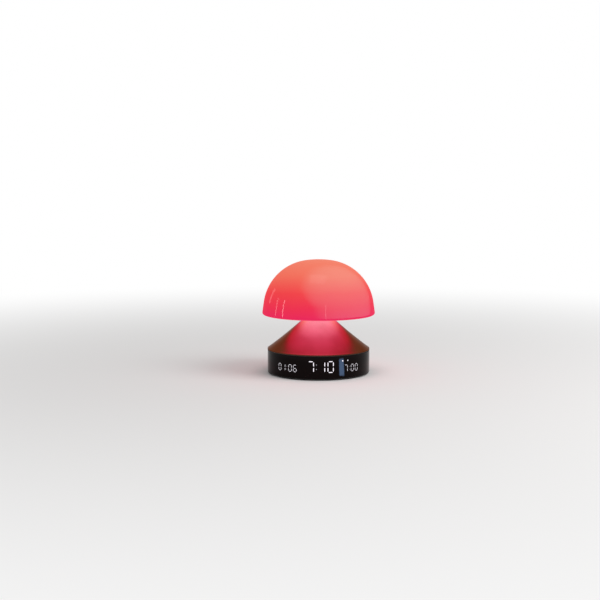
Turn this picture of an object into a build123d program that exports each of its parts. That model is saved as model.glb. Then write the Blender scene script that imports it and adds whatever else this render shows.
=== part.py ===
"""Sunrise alarm clock.

A glowing dome stands on the hollow flank of a metal cone, over a round base whose
glossy band shows the date, the time and the alarm. The whole dome is one large key:
it slides down on a stem in the cone's neck, against a coil spring, onto a switch.
Five small keys and a power socket are at the back of the base.

Frame: millimetres, +Z up, the display faces -Y, origin on the table at the centre of
the base. Angles round the base are measured from the front (-Y) towards +X.
"""

import os
from math import cos, radians, sin, sqrt, tan

from build123d import *

os.makedirs("parts", exist_ok=True)

# ---------------------------------------------------------------------------
# Driving sizes
# ---------------------------------------------------------------------------

# Outside shape
overall_height = 121.0
dome_diameter = 120.6  # across the rim, before its edge is rounded
rim_height = 62.5  # underside of the dome's rim above the table
crown_angle = 8.8  # half angle of the dome's flatter top, in degrees
skirt_taper = 8.0  # lean of the dome's skirt, in degrees
shoulder_level = 6.0  # centre of the dome's shoulder arc above the rim
base_diameter = 109.0
shoulder_height = 26.5  # top edge of the base, where the cone starts
lip_height = 0.9  # upright edge of the cone
flank_hollow = 0.7  # how far the cone's flank is dished below a straight line
neck_diameter = 26.0
neck_rise = 3.5  # top of the neck above the dome's rim
flank_gap = 1.7  # top of the flank below the dome's rim

# Running and fitting clearances
fit_gap = 0.1  # between pieces that are assembled and stay
slide_gap = 0.05  # round a stem or shank that slides
key_gap = 0.15  # round a key in its hole
free_gap = 0.3  # between pieces that move past each other
stop_gap = 0.1  # left at the end of a stroke

# Strokes
dome_stroke = 1.2
key_stroke = 0.6

# Dome, underplate and what carries them
dome_wall = 3.2
rim_round = 2.2
rim_inner_round = 0.6
plate_recess = 2.0  # underplate's face above the rim
plate_thickness = 2.2
plate_bead = 0.6  # snap bead round the underplate
bead_height = 1.0
plate_bore_gap = 2.5  # round the neck
collar_wall = 1.6
collar_height = 3.4
stem_diameter = 12.0
stem_bore = 7.0
stem_floor = 2.0
stem_flange_diameter = 28.0
stem_flange_thickness = 2.0
stem_window_height = 4.6
stem_window_width = 5.0
clip_thickness = 0.9
clip_diameter = 17.0
clip_groove_depth = 0.6
clip_margin = 0.9  # stem between its window and the clip
spider_thickness = 2.5
spider_hub_diameter = 32.0
spider_arm_width = 8.0
spider_inset = 6.6  # outer end of an arm inside the underplate's edge
spider_leg = 5.0  # radial width of a leg
arm_count = 3
spreader_diameter = 58.0
spreader_thickness = 1.5
board_thickness = 1.6
light_board_bore = 11.0
chip_side = 5.0
chip_height = 1.3
stem_screw_length = 7.4
outer_chip_count = 12
outer_chip_circle = 46.0
inner_chip_count = 6
inner_chip_circle = 27.0

# Neck, bush and spring
cone_wall = 1.5
neck_flange_thickness = 1.5
bush_wall = 2.0
bush_flange_diameter = 21.0
bush_flange_thickness = 1.5
nut_diameter = 21.0
nut_thickness = 3.0
spring_length = 5.0
spring_wire = 0.9
spring_diameter = 16.8  # mean
spring_turns = 2.5

# Tower inside the cone
tower_wall = 2.0
tower_bore = 23.0
tower_cap_height = 7.5
tower_flange_diameter = 92.0
tower_flange_thickness = 2.5
tower_rib_thickness = 2.0
tower_rib_reach = 34.0
tower_rib_top = 20.0  # ribs' height above the flange
bridge_width = 12.0
bridge_thickness = 3.0
press_board = (16.0, 12.0)  # along and across the bridge
press_switch_side = 6.0
press_switch_height = 3.5
press_plunger_diameter = 3.5
press_plunger_height = 1.5
tower_screw_circle = 80.0
tower_screw_angle = 45.0

# Base casing
foot_gap = 1.0  # daylight under the pan
foot_width = 7.4
foot_inset = 3.3  # foot's outer edge inside the band
foot_groove = 0.8
pan_thickness = 2.6
pan_flange = 0.6  # thin rim of the pan below the band
pan_flange_inset = 0.5
lens_wall = 1.8
lens_edge = 0.3
chassis_wall = 2.0
deck_thickness = 2.0
deck_opening = 68.0
seat_thickness = 0.7  # chassis rim that the cone stands on
seat_inset = 0.6  # chassis rim inside the band
boss_diameter = 6.4
boss_angles = (66.0, 128.0, 232.0, 294.0)
boss_bite = 0.8  # how far a boss runs into the wall
screw_hole = 2.5
base_screw_diameter = 2.4
base_screw_length = 9.0
base_screw_head = 4.8
sink_angle = 82.0  # of a countersunk head
small_screw_diameter = 2.0
small_screw_head = 4.2
small_screw_head_height = 1.4
small_screw_length = 6.0

# Display
display_half_angle = 54.0
display_bottom = 4.8
display_height = 16.6
reflector_depth = 4.2
segment_depth = 3.0
display_board_thickness = 0.8
baseline = 8.55  # foot of every digit above the table
time_digit = (6.8, 11.5, 0.9)  # width, height, stroke
small_digit = (4.1, 7.2, 0.6)
time_pitch = 9.5  # degrees from digit to digit
time_colon_pitch = 12.1  # degrees across the colon
time_group_angle = -2.2
small_pitch = 6.0
small_colon_pitch = 8.6
date_group_angle = -36.9
alarm_group_angle = 35.8
colon_share = 0.195  # colon dots above and below the middle, per digit height
segment_web = 0.5  # wall between two bars of a digit
indicator_level = 20.05
indicator_diameter = 1.2
indicator_angles = (27.2, 33.9)
die_size = 0.4

# Keys and socket at the back
key_diameter = 7.0
key_level = 17.4
key_pitch = 12.5  # degrees
key_count = 5
key_proud = 0.6
key_flange = 0.9  # wider than the key all round
key_flange_thickness = 1.0
key_edge = 0.5
key_boss_diameter = 2.4
key_boss_length = 0.8
switch_side = 4.6
switch_height = 2.2
plunger_diameter = 2.0
plunger_height = 0.5
key_board_margin = 6.5  # degrees past the last key
key_board_height = 10.0
key_bracket_inset = 3.5  # degrees that the bracket ends before its board
socket_level = 9.2
socket_width = 8.94
socket_height = 3.26
socket_length = 7.4
socket_wall = 0.35
socket_round = 1.5
tongue_width = 6.7
tongue_thickness = 0.7
tongue_length = 5.4
recess_width = 12.6
recess_height = 7.4
recess_round = 2.0
power_board_width = 18.0
power_board_length = 18.0
power_post_y = 35.0
power_post_x = 6.0

# Loudspeaker
speaker_y = 10.0
speaker_diameter = 36.0
speaker_gasket = 0.8
speaker_gasket_width = 3.5
speaker_flange = 1.0
basket_height = 4.0
basket_wall = 0.8
diaphragm_thickness = 0.4
diaphragm_edge = 2.0  # flat edge that is glued to the basket
diaphragm_rise = 3.0
speaker_tab = (5.0, 4.0, 1.2)
magnet_diameter = 19.0
magnet_height = 3.4
cradle_rim_wall = 1.4
cradle_rim_height = 3.0
grille_hole = 1.7
grille_hole_count = (1, 6, 12)  # holes in each ring
grille_circle = (0.0, 5.0, 10.0)  # radius of each ring

# Battery
cell_diameter = 18.3
cell_length = 65.0
cell_y = -21.0
cell_gap = 0.2
tray_wall = 1.2
tray_end_wall = 1.6
tray_floor = 0.9
tray_height = 8.5
strap_thickness = 0.8
strap_width = 8.0
strap_x = 16.0
contact_thickness = 0.4
contact_width = 10.0
contact_height = 12.0

# Main board and its wires
board_width = 68.0
board_depth = 40.0
board_y = 12.0
board_level = 14.6  # underside of the main board above the table
post_diameter = 5.2
post_inset = 3.0
wire_diameter = 1.4
harness_diameter = 2.4
ribbon_thickness = 0.3
ribbon_height = 6.0
connector_side = 5.0
connector_height = 5.0
lead_level = 2.5  # leads above the main board
cell_plug_offset = 9.0  # the cell's plugs in front of the board's middle
ribbon_bend = 4.0
ribbon_gap = 1.5  # beside the battery tray

# ---------------------------------------------------------------------------
# Radii and levels that follow
# ---------------------------------------------------------------------------

dome_radius = dome_diameter / 2
base_radius = base_diameter / 2
neck_radius = neck_diameter / 2

pan_top = foot_gap + pan_thickness
seat_level = shoulder_height - lip_height  # the cone stands here
lens_top = seat_level - seat_thickness - fit_gap
lens_bottom = foot_gap + pan_flange + fit_gap
lens_inner = base_radius - lens_wall
chassis_outer = lens_inner - fit_gap
chassis_inner = chassis_outer - chassis_wall
deck_underside = seat_level - deck_thickness
boss_circle = chassis_inner - boss_diameter / 2 + boss_bite
foot_outer = base_radius - foot_inset
foot_inner = foot_outer - foot_width

neck_top = rim_height + neck_rise
flank_top = rim_height - flank_gap
stem_radius = stem_diameter / 2
bush_bore = stem_radius + slide_gap
bush_radius = bush_bore + bush_wall
bush_top = neck_top + bush_flange_thickness
neck_inner = neck_radius - cone_wall
bush_hole = bush_radius + fit_gap
tower_top = neck_top - neck_flange_thickness
tower_cap_bottom = tower_top - tower_cap_height
tower_bore_radius = tower_bore / 2
tower_radius = tower_bore_radius + tower_wall

plate_bottom = rim_height + plate_recess
plate_top = plate_bottom + plate_thickness
plate_bore = neck_radius + plate_bore_gap
stem_head = bush_top + spring_length
spider_bottom = stem_head + stem_flange_thickness
spreader_bottom = spider_bottom + spider_thickness
light_board_bottom = spreader_bottom + spreader_thickness
light_board_top = light_board_bottom + board_thickness
bridge_top = seat_level
bridge_bottom = bridge_top - bridge_thickness
press_board_top = bridge_top + board_thickness
press_tip = press_board_top + press_switch_height + press_plunger_height
stem_bottom = press_tip + dome_stroke + stop_gap
window_bottom = stem_bottom + stem_floor
window_top = window_bottom + stem_window_height
window_middle = (window_bottom + window_top) / 2
clip_bottom = window_top + clip_margin
clip_top = clip_bottom + clip_thickness
bush_bottom = clip_top + stop_gap

reflector_outer = chassis_outer
reflector_inner = reflector_outer - reflector_depth
display_board_outer = reflector_inner - slide_gap
display_board_inner = display_board_outer - display_board_thickness
display_top = display_bottom + display_height

key_flange_outer = sqrt(chassis_inner**2 - (key_diameter / 2 + key_flange) ** 2) - fit_gap
key_boss_end = key_flange_outer - key_flange_thickness - key_boss_length
plunger_tip = key_boss_end - key_stroke - stop_gap
key_board_outer = plunger_tip - plunger_height - switch_height
key_board_inner = key_board_outer - display_board_thickness
key_board_half_angle = (key_count - 1) / 2 * key_pitch + key_board_margin
key_angles = [180 + (i - (key_count - 1) / 2) * key_pitch for i in range(key_count)]

board_top = board_level + board_thickness
cell_level = pan_top + tray_floor + cell_gap + cell_diameter / 2
socket_face = sqrt(chassis_outer**2 - (socket_width / 2) ** 2) - fit_gap


# ---------------------------------------------------------------------------
# Helpers
# ---------------------------------------------------------------------------


def save(builder, name):
    """Labels a finished piece and writes it as one STEP file."""
    builder.part.label = name
    export_step(builder.part, f"parts/{name}.step")


def outward(angle, radius=0.0, height=0.0):
    """A plane that faces straight out of the base, with its own x to the right."""
    across, along = sin(radians(angle)), cos(radians(angle))
    return Plane(
        origin=(radius * across, -radius * along, height),
        x_dir=(along, across, 0),
        z_dir=(across, -along, 0),
    )


def ring(inner, outer, bottom, top, mode=Mode.ADD):
    """A flat ring about the Z axis, between two levels."""
    with BuildSketch(Plane.XY.offset(bottom)) as shape:
        Circle(outer)
        if inner > 0:
            Circle(inner, mode=Mode.SUBTRACT)
    extrude(shape.sketch, amount=top - bottom, mode=mode)


def sector(inner, outer, bottom, top, half_angle, facing=0.0, mode=Mode.ADD):
    """Part of a ring, half_angle to each side of where it faces."""
    start = facing - 90 - half_angle
    with BuildSketch(Plane.XY.offset(bottom)) as shape:
        with BuildLine():
            outer_arc = CenterArc((0, 0), outer, start, 2 * half_angle)
            inner_arc = CenterArc((0, 0), inner, start, 2 * half_angle)
            Line(outer_arc @ 0, inner_arc @ 0)
            Line(outer_arc @ 1, inner_arc @ 1)
        make_face()
    extrude(shape.sketch, amount=top - bottom, mode=mode)


def dome_body(inset, mode=Mode.ADD):
    """The dome as a solid, moved inwards by inset: crown, shoulder and leaning skirt."""
    lean = radians(skirt_taper)
    joint = radians(crown_angle)
    rise = overall_height - rim_height - shoulder_level
    reach = dome_radius - shoulder_level * tan(lean)
    excess = (reach - rise / cos(lean)) / (sin(joint) - (1 - cos(joint)) / cos(lean))
    shoulder_radius = rise - excess * (1 - cos(joint))
    crown_radius = shoulder_radius + excess
    centre = (excess * sin(joint), rim_height + shoulder_level)
    with BuildSketch(Plane.XZ) as shape:
        with BuildLine():
            crown = CenterArc((0, overall_height - crown_radius), crown_radius - inset, 90, -crown_angle)
            shoulder = CenterArc(centre, shoulder_radius - inset, 90 - crown_angle, skirt_taper + crown_angle - 90)
            foot = (dome_radius - inset / cos(lean), rim_height)
            Polyline(shoulder @ 1, foot, (0, rim_height), crown @ 0)
        make_face()
    revolve(shape.sketch, axis=Axis.Z, mode=mode)


def sink_height(diameter, head_diameter):
    """Height of a countersunk head."""
    return (head_diameter - diameter) / 2 / tan(radians(sink_angle / 2))


def screw(diameter, length, head_diameter, head_height=0.0):
    """A screw that points down from the builder's locations, countersunk if it has no head height."""
    if head_height:
        Cylinder(head_diameter / 2, head_height, align=(Align.CENTER, Align.CENTER, Align.MIN))
    else:
        Cone(
            diameter / 2,
            head_diameter / 2,
            sink_height(diameter, head_diameter),
            align=(Align.CENTER, Align.CENTER, Align.MAX),
        )
    Cylinder(diameter / 2, length, align=(Align.CENTER, Align.CENTER, Align.MAX))
    with Locations((0, 0, head_height)):
        Box(
            head_diameter * 0.6,
            diameter * 0.25,
            diameter * 0.25,
            align=(Align.CENTER, Align.CENTER, Align.MAX),
            mode=Mode.SUBTRACT,
        )


def block(place, size):
    """A box that stands on its place."""
    with Locations(place):
        Box(*size, align=(Align.CENTER, Align.CENTER, Align.MIN))


def wire(points, bend, diameter):
    """A round wire along straight runs joined by bends."""
    with BuildLine() as route:
        FilletPolyline(*points, radius=bend)
    path = route.wires()[0]
    with BuildSketch(Plane(origin=path @ 0, z_dir=path % 0)) as section:
        Circle(diameter / 2)
    sweep(section.sketch, path=path)


def digit_cells():
    """Middle angle, width, height and stroke of every digit, then of every colon."""
    digits, colons = [], []
    for middle, size, pitch, colon_pitch in (
        (date_group_angle, small_digit, small_pitch, small_colon_pitch),
        (time_group_angle, time_digit, time_pitch, time_colon_pitch),
        (alarm_group_angle, small_digit, small_pitch, small_colon_pitch),
    ):
        inner = colon_pitch / 2
        for offset in (-inner - pitch, -inner, inner, inner + pitch):
            digits.append((middle + offset, *size))
        colons.append((middle, *size))
    return digits, colons


def segment_places(width, height, stroke):
    """Centre, length and turn of the seven bars of one digit, about its middle."""
    reach_x = (width - stroke) / 2
    reach_y = (height - stroke) / 2
    gap = (segment_web + stroke) / sqrt(2) - stroke / 2
    across = width - stroke - 2 * gap
    upright = reach_y - 2 * gap
    bars = [((0, y), across, 0) for y in (-reach_y, 0, reach_y)]
    bars += [((x, y), upright, 90) for x in (-reach_x, reach_x) for y in (-reach_y / 2, reach_y / 2)]
    return bars


def display_marks(start, length, inset, mode=Mode.ADD):
    """Every mark that can light up, as a bar of that length that starts at a radius."""
    digits, colons = digit_cells()
    for angle, width, height, stroke in digits:
        with BuildSketch(outward(angle, start, baseline + height / 2)) as marks:
            for place, span, turn in segment_places(width, height, stroke):
                with Locations(place):
                    SlotOverall(span - 2 * inset, stroke - 2 * inset, rotation=turn)
        extrude(marks.sketch, amount=length, mode=mode)
    for angle, width, height, stroke in colons:
        with BuildSketch(outward(angle, start, baseline + height / 2)) as marks:
            with Locations((0, -height * colon_share), (0, height * colon_share)):
                Circle(stroke / 2 - inset)
        extrude(marks.sketch, amount=length, mode=mode)
    for angle in indicator_angles:
        with BuildSketch(outward(angle, start, indicator_level)) as marks:
            Circle(indicator_diameter / 2 - inset)
        extrude(marks.sketch, amount=length, mode=mode)


# ---------------------------------------------------------------------------
# Head: everything that goes down when the dome is pressed
# ---------------------------------------------------------------------------

bead_level = plate_bottom + plate_thickness / 2
rim_inner_radius = dome_radius - dome_wall / cos(radians(skirt_taper))
plate_radius = rim_inner_radius - (plate_top - rim_height) * tan(radians(skirt_taper)) - fit_gap
groove_radius = plate_radius + plate_bead + fit_gap
spider_reach = plate_radius - spider_inset
leg_circle = spider_reach - spider_leg / 2
hub_screw_circle = spider_hub_diameter / 2 - small_screw_head
upside_down = Rotation(180, 0, 0)

# Opal shell, open below, with a groove for the underplate's bead.
with BuildPart() as dome_shell:
    dome_body(0)
    dome_body(dome_wall, Mode.SUBTRACT)
    rim_edges = dome_shell.edges().filter_by(GeomType.CIRCLE).group_by(Axis.Z)[0].sort_by(SortBy.LENGTH)
    fillet(rim_edges[-1], radius=min(rim_round, dome_wall * 0.7))
    rim_edges = dome_shell.edges().filter_by(GeomType.CIRCLE).group_by(Axis.Z)[0].sort_by(SortBy.LENGTH)
    fillet(rim_edges[0], radius=min(rim_inner_round, dome_wall * 0.2))
    ring(
        0,
        groove_radius,
        bead_level - bead_height / 2 - fit_gap,
        bead_level + bead_height / 2 + fit_gap,
        Mode.SUBTRACT,
    )
save(dome_shell, "dome_shell")

# Frosted plate that closes the dome, with a collar round the neck and a snap bead.
with BuildPart() as underplate:
    ring(plate_bore, plate_radius, plate_bottom, plate_top)
    ring(
        plate_radius - collar_wall,
        plate_radius + plate_bead,
        bead_level - bead_height / 2,
        bead_level + bead_height / 2,
    )
    ring(plate_bore, plate_bore + collar_wall, plate_top, plate_top + collar_height)
    with Locations(Plane.XY.offset(plate_bottom)):
        with PolarLocations(leg_circle, arm_count, start_angle=90):
            with Locations(upside_down):
                CounterSinkHole(
                    small_screw_diameter / 2 + fit_gap,
                    small_screw_head / 2 + fit_gap,
                    depth=plate_thickness,
                    counter_sink_angle=sink_angle,
                )
save(underplate, "underplate")

# Hollow stem, closed below, with a window for the light's cable and a clip groove.
with BuildPart() as head_stem:
    ring(0, stem_radius, stem_bottom, stem_head)
    ring(0, stem_flange_diameter / 2, stem_head, spider_bottom)
    ring(0, stem_bore / 2, stem_bottom + stem_floor, spider_bottom, Mode.SUBTRACT)
    with Locations((0, stem_radius, window_middle)):
        Box(stem_window_width, stem_diameter, stem_window_height, mode=Mode.SUBTRACT)
    ring(stem_radius - clip_groove_depth, stem_radius + fit_gap, clip_bottom, clip_top, Mode.SUBTRACT)
    with Locations(Plane.XY.offset(spider_bottom)):
        with PolarLocations(hub_screw_circle, arm_count, start_angle=30):
            Hole(small_screw_diameter / 2 + slide_gap, depth=stem_flange_thickness)
save(head_stem, "head_stem")

# Open spring clip in the stem's groove; it stops the head at the top of its stroke.
with BuildPart() as stem_clip:
    ring(
        stem_radius - clip_groove_depth + slide_gap,
        clip_diameter / 2,
        clip_bottom + slide_gap,
        clip_top - slide_gap,
    )
    with Locations((0, -clip_diameter / 2, clip_bottom)):
        Box(stem_diameter * 0.7, clip_diameter, clip_thickness * 3, mode=Mode.SUBTRACT)
save(stem_clip, "stem_clip")

# Three-armed spider that ties the underplate to the stem.
with BuildPart() as head_spider:
    ring(0, spider_hub_diameter / 2, spider_bottom, spreader_bottom)
    for i in range(arm_count):
        facing = 180 + i * 360 / arm_count
        with BuildSketch(outward(facing, 0, spider_bottom)):
            with Locations((0, spider_thickness / 2)):
                Rectangle(spider_arm_width, spider_thickness)
        extrude(amount=spider_reach)
        with BuildSketch(outward(facing, spider_reach - spider_leg, plate_top)):
            with Locations((0, (spider_bottom - plate_top) / 2)):
                Rectangle(spider_arm_width, spider_bottom - plate_top)
        extrude(amount=spider_leg)
    ring(0, light_board_bore / 2, spider_bottom, spreader_bottom, Mode.SUBTRACT)
    with Locations(Plane.XY.offset(spreader_bottom)):
        with PolarLocations(hub_screw_circle, arm_count, start_angle=30):
            Hole(small_screw_diameter / 2 + slide_gap, depth=spider_thickness)
    with Locations(Plane.XY.offset(plate_top)):
        with PolarLocations(leg_circle, arm_count, start_angle=90):
            Cylinder(
                small_screw_diameter / 2 + slide_gap,
                small_screw_length - plate_thickness + fit_gap,
                align=(Align.CENTER, Align.CENTER, Align.MIN),
                mode=Mode.SUBTRACT,
            )
save(head_spider, "head_spider")

# Aluminium plate under the light board.
with BuildPart() as heat_spreader:
    ring(light_board_bore / 2, spreader_diameter / 2, spreader_bottom, light_board_bottom)
    with Locations(Plane.XY.offset(light_board_bottom)):
        with PolarLocations(hub_screw_circle, arm_count, start_angle=30):
            Hole(small_screw_diameter / 2 + slide_gap, depth=spreader_thickness)
save(heat_spreader, "heat_spreader")

# Round board that carries the light chips.
with BuildPart() as light_board:
    ring(light_board_bore / 2, spreader_diameter / 2, light_board_bottom, light_board_top)
    with Locations(Plane.XY.offset(light_board_top)):
        with PolarLocations(hub_screw_circle, arm_count, start_angle=30):
            Hole(small_screw_diameter / 2 + slide_gap, depth=board_thickness)
save(light_board, "light_board")

# Colour chips in two rings, all facing up into the dome.
with BuildPart() as light_chips:
    with Locations(Plane.XY.offset(light_board_top)):
        for circle, count in ((outer_chip_circle, outer_chip_count), (inner_chip_circle, inner_chip_count)):
            with PolarLocations(circle / 2, count):
                Box(chip_side, chip_side, chip_height, align=(Align.CENTER, Align.CENTER, Align.MIN))
save(light_chips, "light_chips")

# Countersunk screws that hold the underplate to the spider's legs.
with BuildPart() as plate_screws:
    with Locations(Plane.XY.offset(plate_bottom + slide_gap)):
        with PolarLocations(leg_circle, arm_count, start_angle=90):
            with Locations(upside_down):
                screw(small_screw_diameter, small_screw_length, small_screw_head)
save(plate_screws, "plate_screws")

# Screws through light board, spreader and spider into the stem's flange.
with BuildPart() as stem_screws:
    with Locations(Plane.XY.offset(light_board_top)):
        with PolarLocations(hub_screw_circle, arm_count, start_angle=30):
            screw(small_screw_diameter, stem_screw_length, small_screw_head, small_screw_head_height)
save(stem_screws, "stem_screws")

# Cable that climbs inside the stem, loops over and plugs into the light board.
plug_y = light_board_bore / 2 + connector_side / 2 + fit_gap
plug_top = light_board_top + connector_height
loop_top = plug_top + 2 * harness_diameter
with BuildPart() as light_cable:
    wire(
        [(0, 0, stem_bottom + stem_floor + fit_gap), (0, 0, loop_top), (0, plug_y, loop_top), (0, plug_y, plug_top)],
        harness_diameter * 1.3,
        harness_diameter,
    )
save(light_cable, "light_cable")

# Plug on the light board.
with BuildPart() as light_plug:
    block((0, plug_y, light_board_top), (connector_side, connector_side, connector_height))
save(light_plug, "light_plug")

# Coil spring between the neck's bush and the stem's flange.
with BuildPart() as return_spring:
    coil_rise = spring_length - spring_wire - 2 * slide_gap
    with BuildLine(Plane.XY.offset(bush_top + slide_gap + spring_wire / 2)) as coil:
        Helix(coil_rise / spring_turns, coil_rise, spring_diameter / 2)
    with BuildSketch(Plane(origin=coil.wires()[0] @ 0, z_dir=coil.wires()[0] % 0)):
        Circle(spring_wire / 2)
    sweep(path=coil.wires()[0], is_frenet=True)
save(return_spring, "return_spring")

# ---------------------------------------------------------------------------
# Cone, neck and the tower inside
# ---------------------------------------------------------------------------

# Spun metal cone: upright lip, dished flank, neck and a top that the bush clamps.
lip_radius = base_radius
flank_slope = (flank_top - shoulder_height) / (lip_radius - lens_edge - neck_radius)
flank_length = sqrt(1 + flank_slope**2)
wall_shift = (cone_wall * flank_slope / flank_length, cone_wall / flank_length)


def cone_flank(shift_r, shift_z):
    """The flank's arc from lip to neck, shifted towards the inside."""
    foot = (lip_radius - lens_edge - shift_r, shoulder_height - shift_z)
    head = (neck_radius - shift_r, flank_top - shift_z)
    dish = (flank_hollow * flank_slope / flank_length, flank_hollow / flank_length)
    middle = ((foot[0] + head[0]) / 2 - dish[0], (foot[1] + head[1]) / 2 - dish[1])
    return foot, middle, head


with BuildPart() as cone_shell:
    foot, middle, head = cone_flank(0, 0)
    with BuildSketch(Plane.XZ):
        with BuildLine():
            ThreePointArc(foot, middle, head)
            Polyline(
                head,
                (neck_radius, neck_top - lens_edge),
                (neck_radius - lens_edge, neck_top),
                (0, neck_top),
                (0, seat_level),
                (lip_radius, seat_level),
                (lip_radius, shoulder_height - lens_edge),
                foot,
            )
        make_face()
    revolve(axis=Axis.Z)
    foot, middle, head = cone_flank(*wall_shift)
    with BuildSketch(Plane.XZ):
        with BuildLine():
            ThreePointArc(foot, middle, head)
            Polyline(
                head,
                (neck_inner, head[1]),
                (neck_inner, tower_top),
                (0, tower_top),
                (0, foot[1] - cone_wall),
                (foot[0], foot[1] - cone_wall),
                foot,
            )
        make_face()
    revolve(axis=Axis.Z, mode=Mode.SUBTRACT)
    ring(0, bush_hole, tower_top, neck_top, Mode.SUBTRACT)
save(cone_shell, "cone_shell")

# Flanged bush that guides the stem.
with BuildPart() as neck_bush:
    ring(bush_bore, bush_flange_diameter / 2, neck_top, bush_top)
    ring(bush_bore, bush_radius, bush_bottom, neck_top)
save(neck_bush, "neck_bush")

# Slotted ring nut that pulls neck and tower together.
with BuildPart() as bush_nut:
    ring(bush_hole, nut_diameter / 2, tower_cap_bottom - nut_thickness, tower_cap_bottom)
    with Locations((0, 0, tower_cap_bottom - nut_thickness)):
        with PolarLocations(nut_diameter / 2, 4):
            Box(nut_thickness, nut_thickness, nut_thickness, mode=Mode.SUBTRACT)
save(bush_nut, "bush_nut")

# Moulded tower: flange on the deck, ribbed tube, cap in the neck, bridge for the switch.
with BuildPart() as tower:
    ring(tower_bore_radius, tower_flange_diameter / 2, seat_level, seat_level + tower_flange_thickness)
    ring(tower_bore_radius, tower_radius, bridge_bottom, tower_cap_bottom)
    ring(bush_hole, neck_inner - fit_gap, tower_cap_bottom, tower_top)
    ring(tower_bore_radius - tower_wall, tower_radius, tower_cap_bottom, tower_cap_bottom + tower_wall / 2)
    ring(0, bush_hole, tower_cap_bottom, tower_top, Mode.SUBTRACT)
    rib_foot = seat_level + tower_flange_thickness
    for facing in (0, 90, 180, 270):
        with BuildSketch(outward(facing + 90)):
            with BuildLine():
                Polyline(
                    (tower_bore_radius + tower_wall / 2, rib_foot),
                    (tower_rib_reach, rib_foot),
                    (tower_radius, rib_foot + tower_rib_top),
                    (tower_bore_radius + tower_wall / 2, rib_foot + tower_rib_top),
                    close=True,
                )
            make_face()
        extrude(amount=tower_rib_thickness / 2, both=True)
    with BuildSketch(Plane.XY.offset(bridge_bottom)):
        Rectangle(2 * tower_radius, bridge_width)
        Circle(tower_bore_radius + tower_wall / 2, mode=Mode.INTERSECT)
    extrude(amount=bridge_thickness)
    with Locations(Plane.XY.offset(seat_level + tower_flange_thickness)):
        with PolarLocations(tower_screw_circle / 2, 4, start_angle=tower_screw_angle):
            Hole(small_screw_diameter / 2 + fit_gap, depth=tower_flange_thickness)
save(tower, "tower")

# Screws that hold the tower to the deck.
with BuildPart() as tower_screws:
    with Locations(Plane.XY.offset(seat_level + tower_flange_thickness)):
        with PolarLocations(tower_screw_circle / 2, 4, start_angle=tower_screw_angle):
            screw(small_screw_diameter, small_screw_length, small_screw_head, small_screw_head_height)
save(tower_screws, "tower_screws")

# Small board on the bridge.
with BuildPart() as press_switch_board:
    block((0, 0, bridge_top), (*press_board, board_thickness))
save(press_switch_board, "press_switch_board")

# Push switch under the stem.
with BuildPart() as press_switch:
    block((0, 0, press_board_top), (press_switch_side, press_switch_side, press_switch_height))
    ring(0, press_plunger_diameter / 2, press_board_top + press_switch_height, press_tip)
save(press_switch, "press_switch")

# ---------------------------------------------------------------------------
# Base casing
# ---------------------------------------------------------------------------

key_hole = key_diameter / 2 + key_gap
boss_places = [outward(angle, boss_circle).origin for angle in boss_angles]
board_corners = [
    (x * (board_width / 2 - post_inset), board_y + y * (board_depth / 2 - post_inset))
    for x in (-1, 1)
    for y in (-1, 1)
]
power_board_top = socket_level - socket_height / 2
power_board_outer = sqrt(chassis_inner**2 - (power_board_width / 2) ** 2) - free_gap
power_corners = [(-power_post_x, power_post_y), (power_post_x, power_post_y)]

# Chassis: ring wall and deck, screw bosses, a window for the display, a bracket for the keys.
with BuildPart() as chassis:
    ring(chassis_inner, chassis_outer, pan_top, seat_level)
    ring(deck_opening / 2, chassis_outer, deck_underside, seat_level)
    ring(chassis_inner, base_radius - seat_inset, seat_level - seat_thickness, seat_level)
    with Locations(*[(place.X, place.Y, pan_top) for place in boss_places]):
        Cylinder(boss_diameter / 2, deck_underside - pan_top, align=(Align.CENTER, Align.CENTER, Align.MIN))
    sector(
        key_board_inner - fit_gap - chassis_wall,
        key_board_inner - fit_gap,
        key_level - key_board_height / 2,
        deck_underside,
        key_board_half_angle - key_bracket_inset,
        180,
    )
    sector(
        reflector_inner,
        chassis_outer + fit_gap,
        display_bottom - fit_gap,
        display_top + fit_gap,
        display_half_angle + fit_gap,
        mode=Mode.SUBTRACT,
    )
    for angle in key_angles:
        with Locations(outward(angle, base_radius, key_level)):
            Cylinder(key_hole, 2 * (base_radius - key_flange_outer), mode=Mode.SUBTRACT)
    with BuildSketch(outward(180, socket_face - socket_length / 2, socket_level)):
        RectangleRounded(socket_width + 2 * fit_gap, socket_height + 2 * fit_gap, socket_round + fit_gap)
    extrude(amount=socket_length, mode=Mode.SUBTRACT)
    with Locations(*[(place.X, place.Y, pan_top) for place in boss_places]):
        Cylinder(
            screw_hole / 2,
            base_screw_length,
            align=(Align.CENTER, Align.CENTER, Align.MIN),
            mode=Mode.SUBTRACT,
        )
    with Locations(Plane.XY.offset(seat_level)):
        with PolarLocations(tower_screw_circle / 2, 4, start_angle=tower_screw_angle):
            Hole(small_screw_diameter / 2 + slide_gap, depth=deck_thickness)
save(chassis, "chassis")

# Glossy band, tinted so that only lit marks show, with holes for keys and plug.
with BuildPart() as lens:
    ring(lens_inner, base_radius, lens_bottom, lens_top)
    outer_edges = lens.edges().filter_by(GeomType.CIRCLE).filter_by(lambda e: e.radius > lens_inner + lens_edge)
    chamfer(outer_edges, length=min(lens_edge, lens_wall * 0.5))
    for angle in key_angles:
        with Locations(outward(angle, base_radius, key_level)):
            Cylinder(key_hole, 3 * lens_wall, mode=Mode.SUBTRACT)
    with BuildSketch(outward(180, lens_inner - lens_wall, socket_level)):
        RectangleRounded(recess_width, recess_height, recess_round)
    extrude(amount=3 * lens_wall, mode=Mode.SUBTRACT)
save(lens, "lens")

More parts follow.
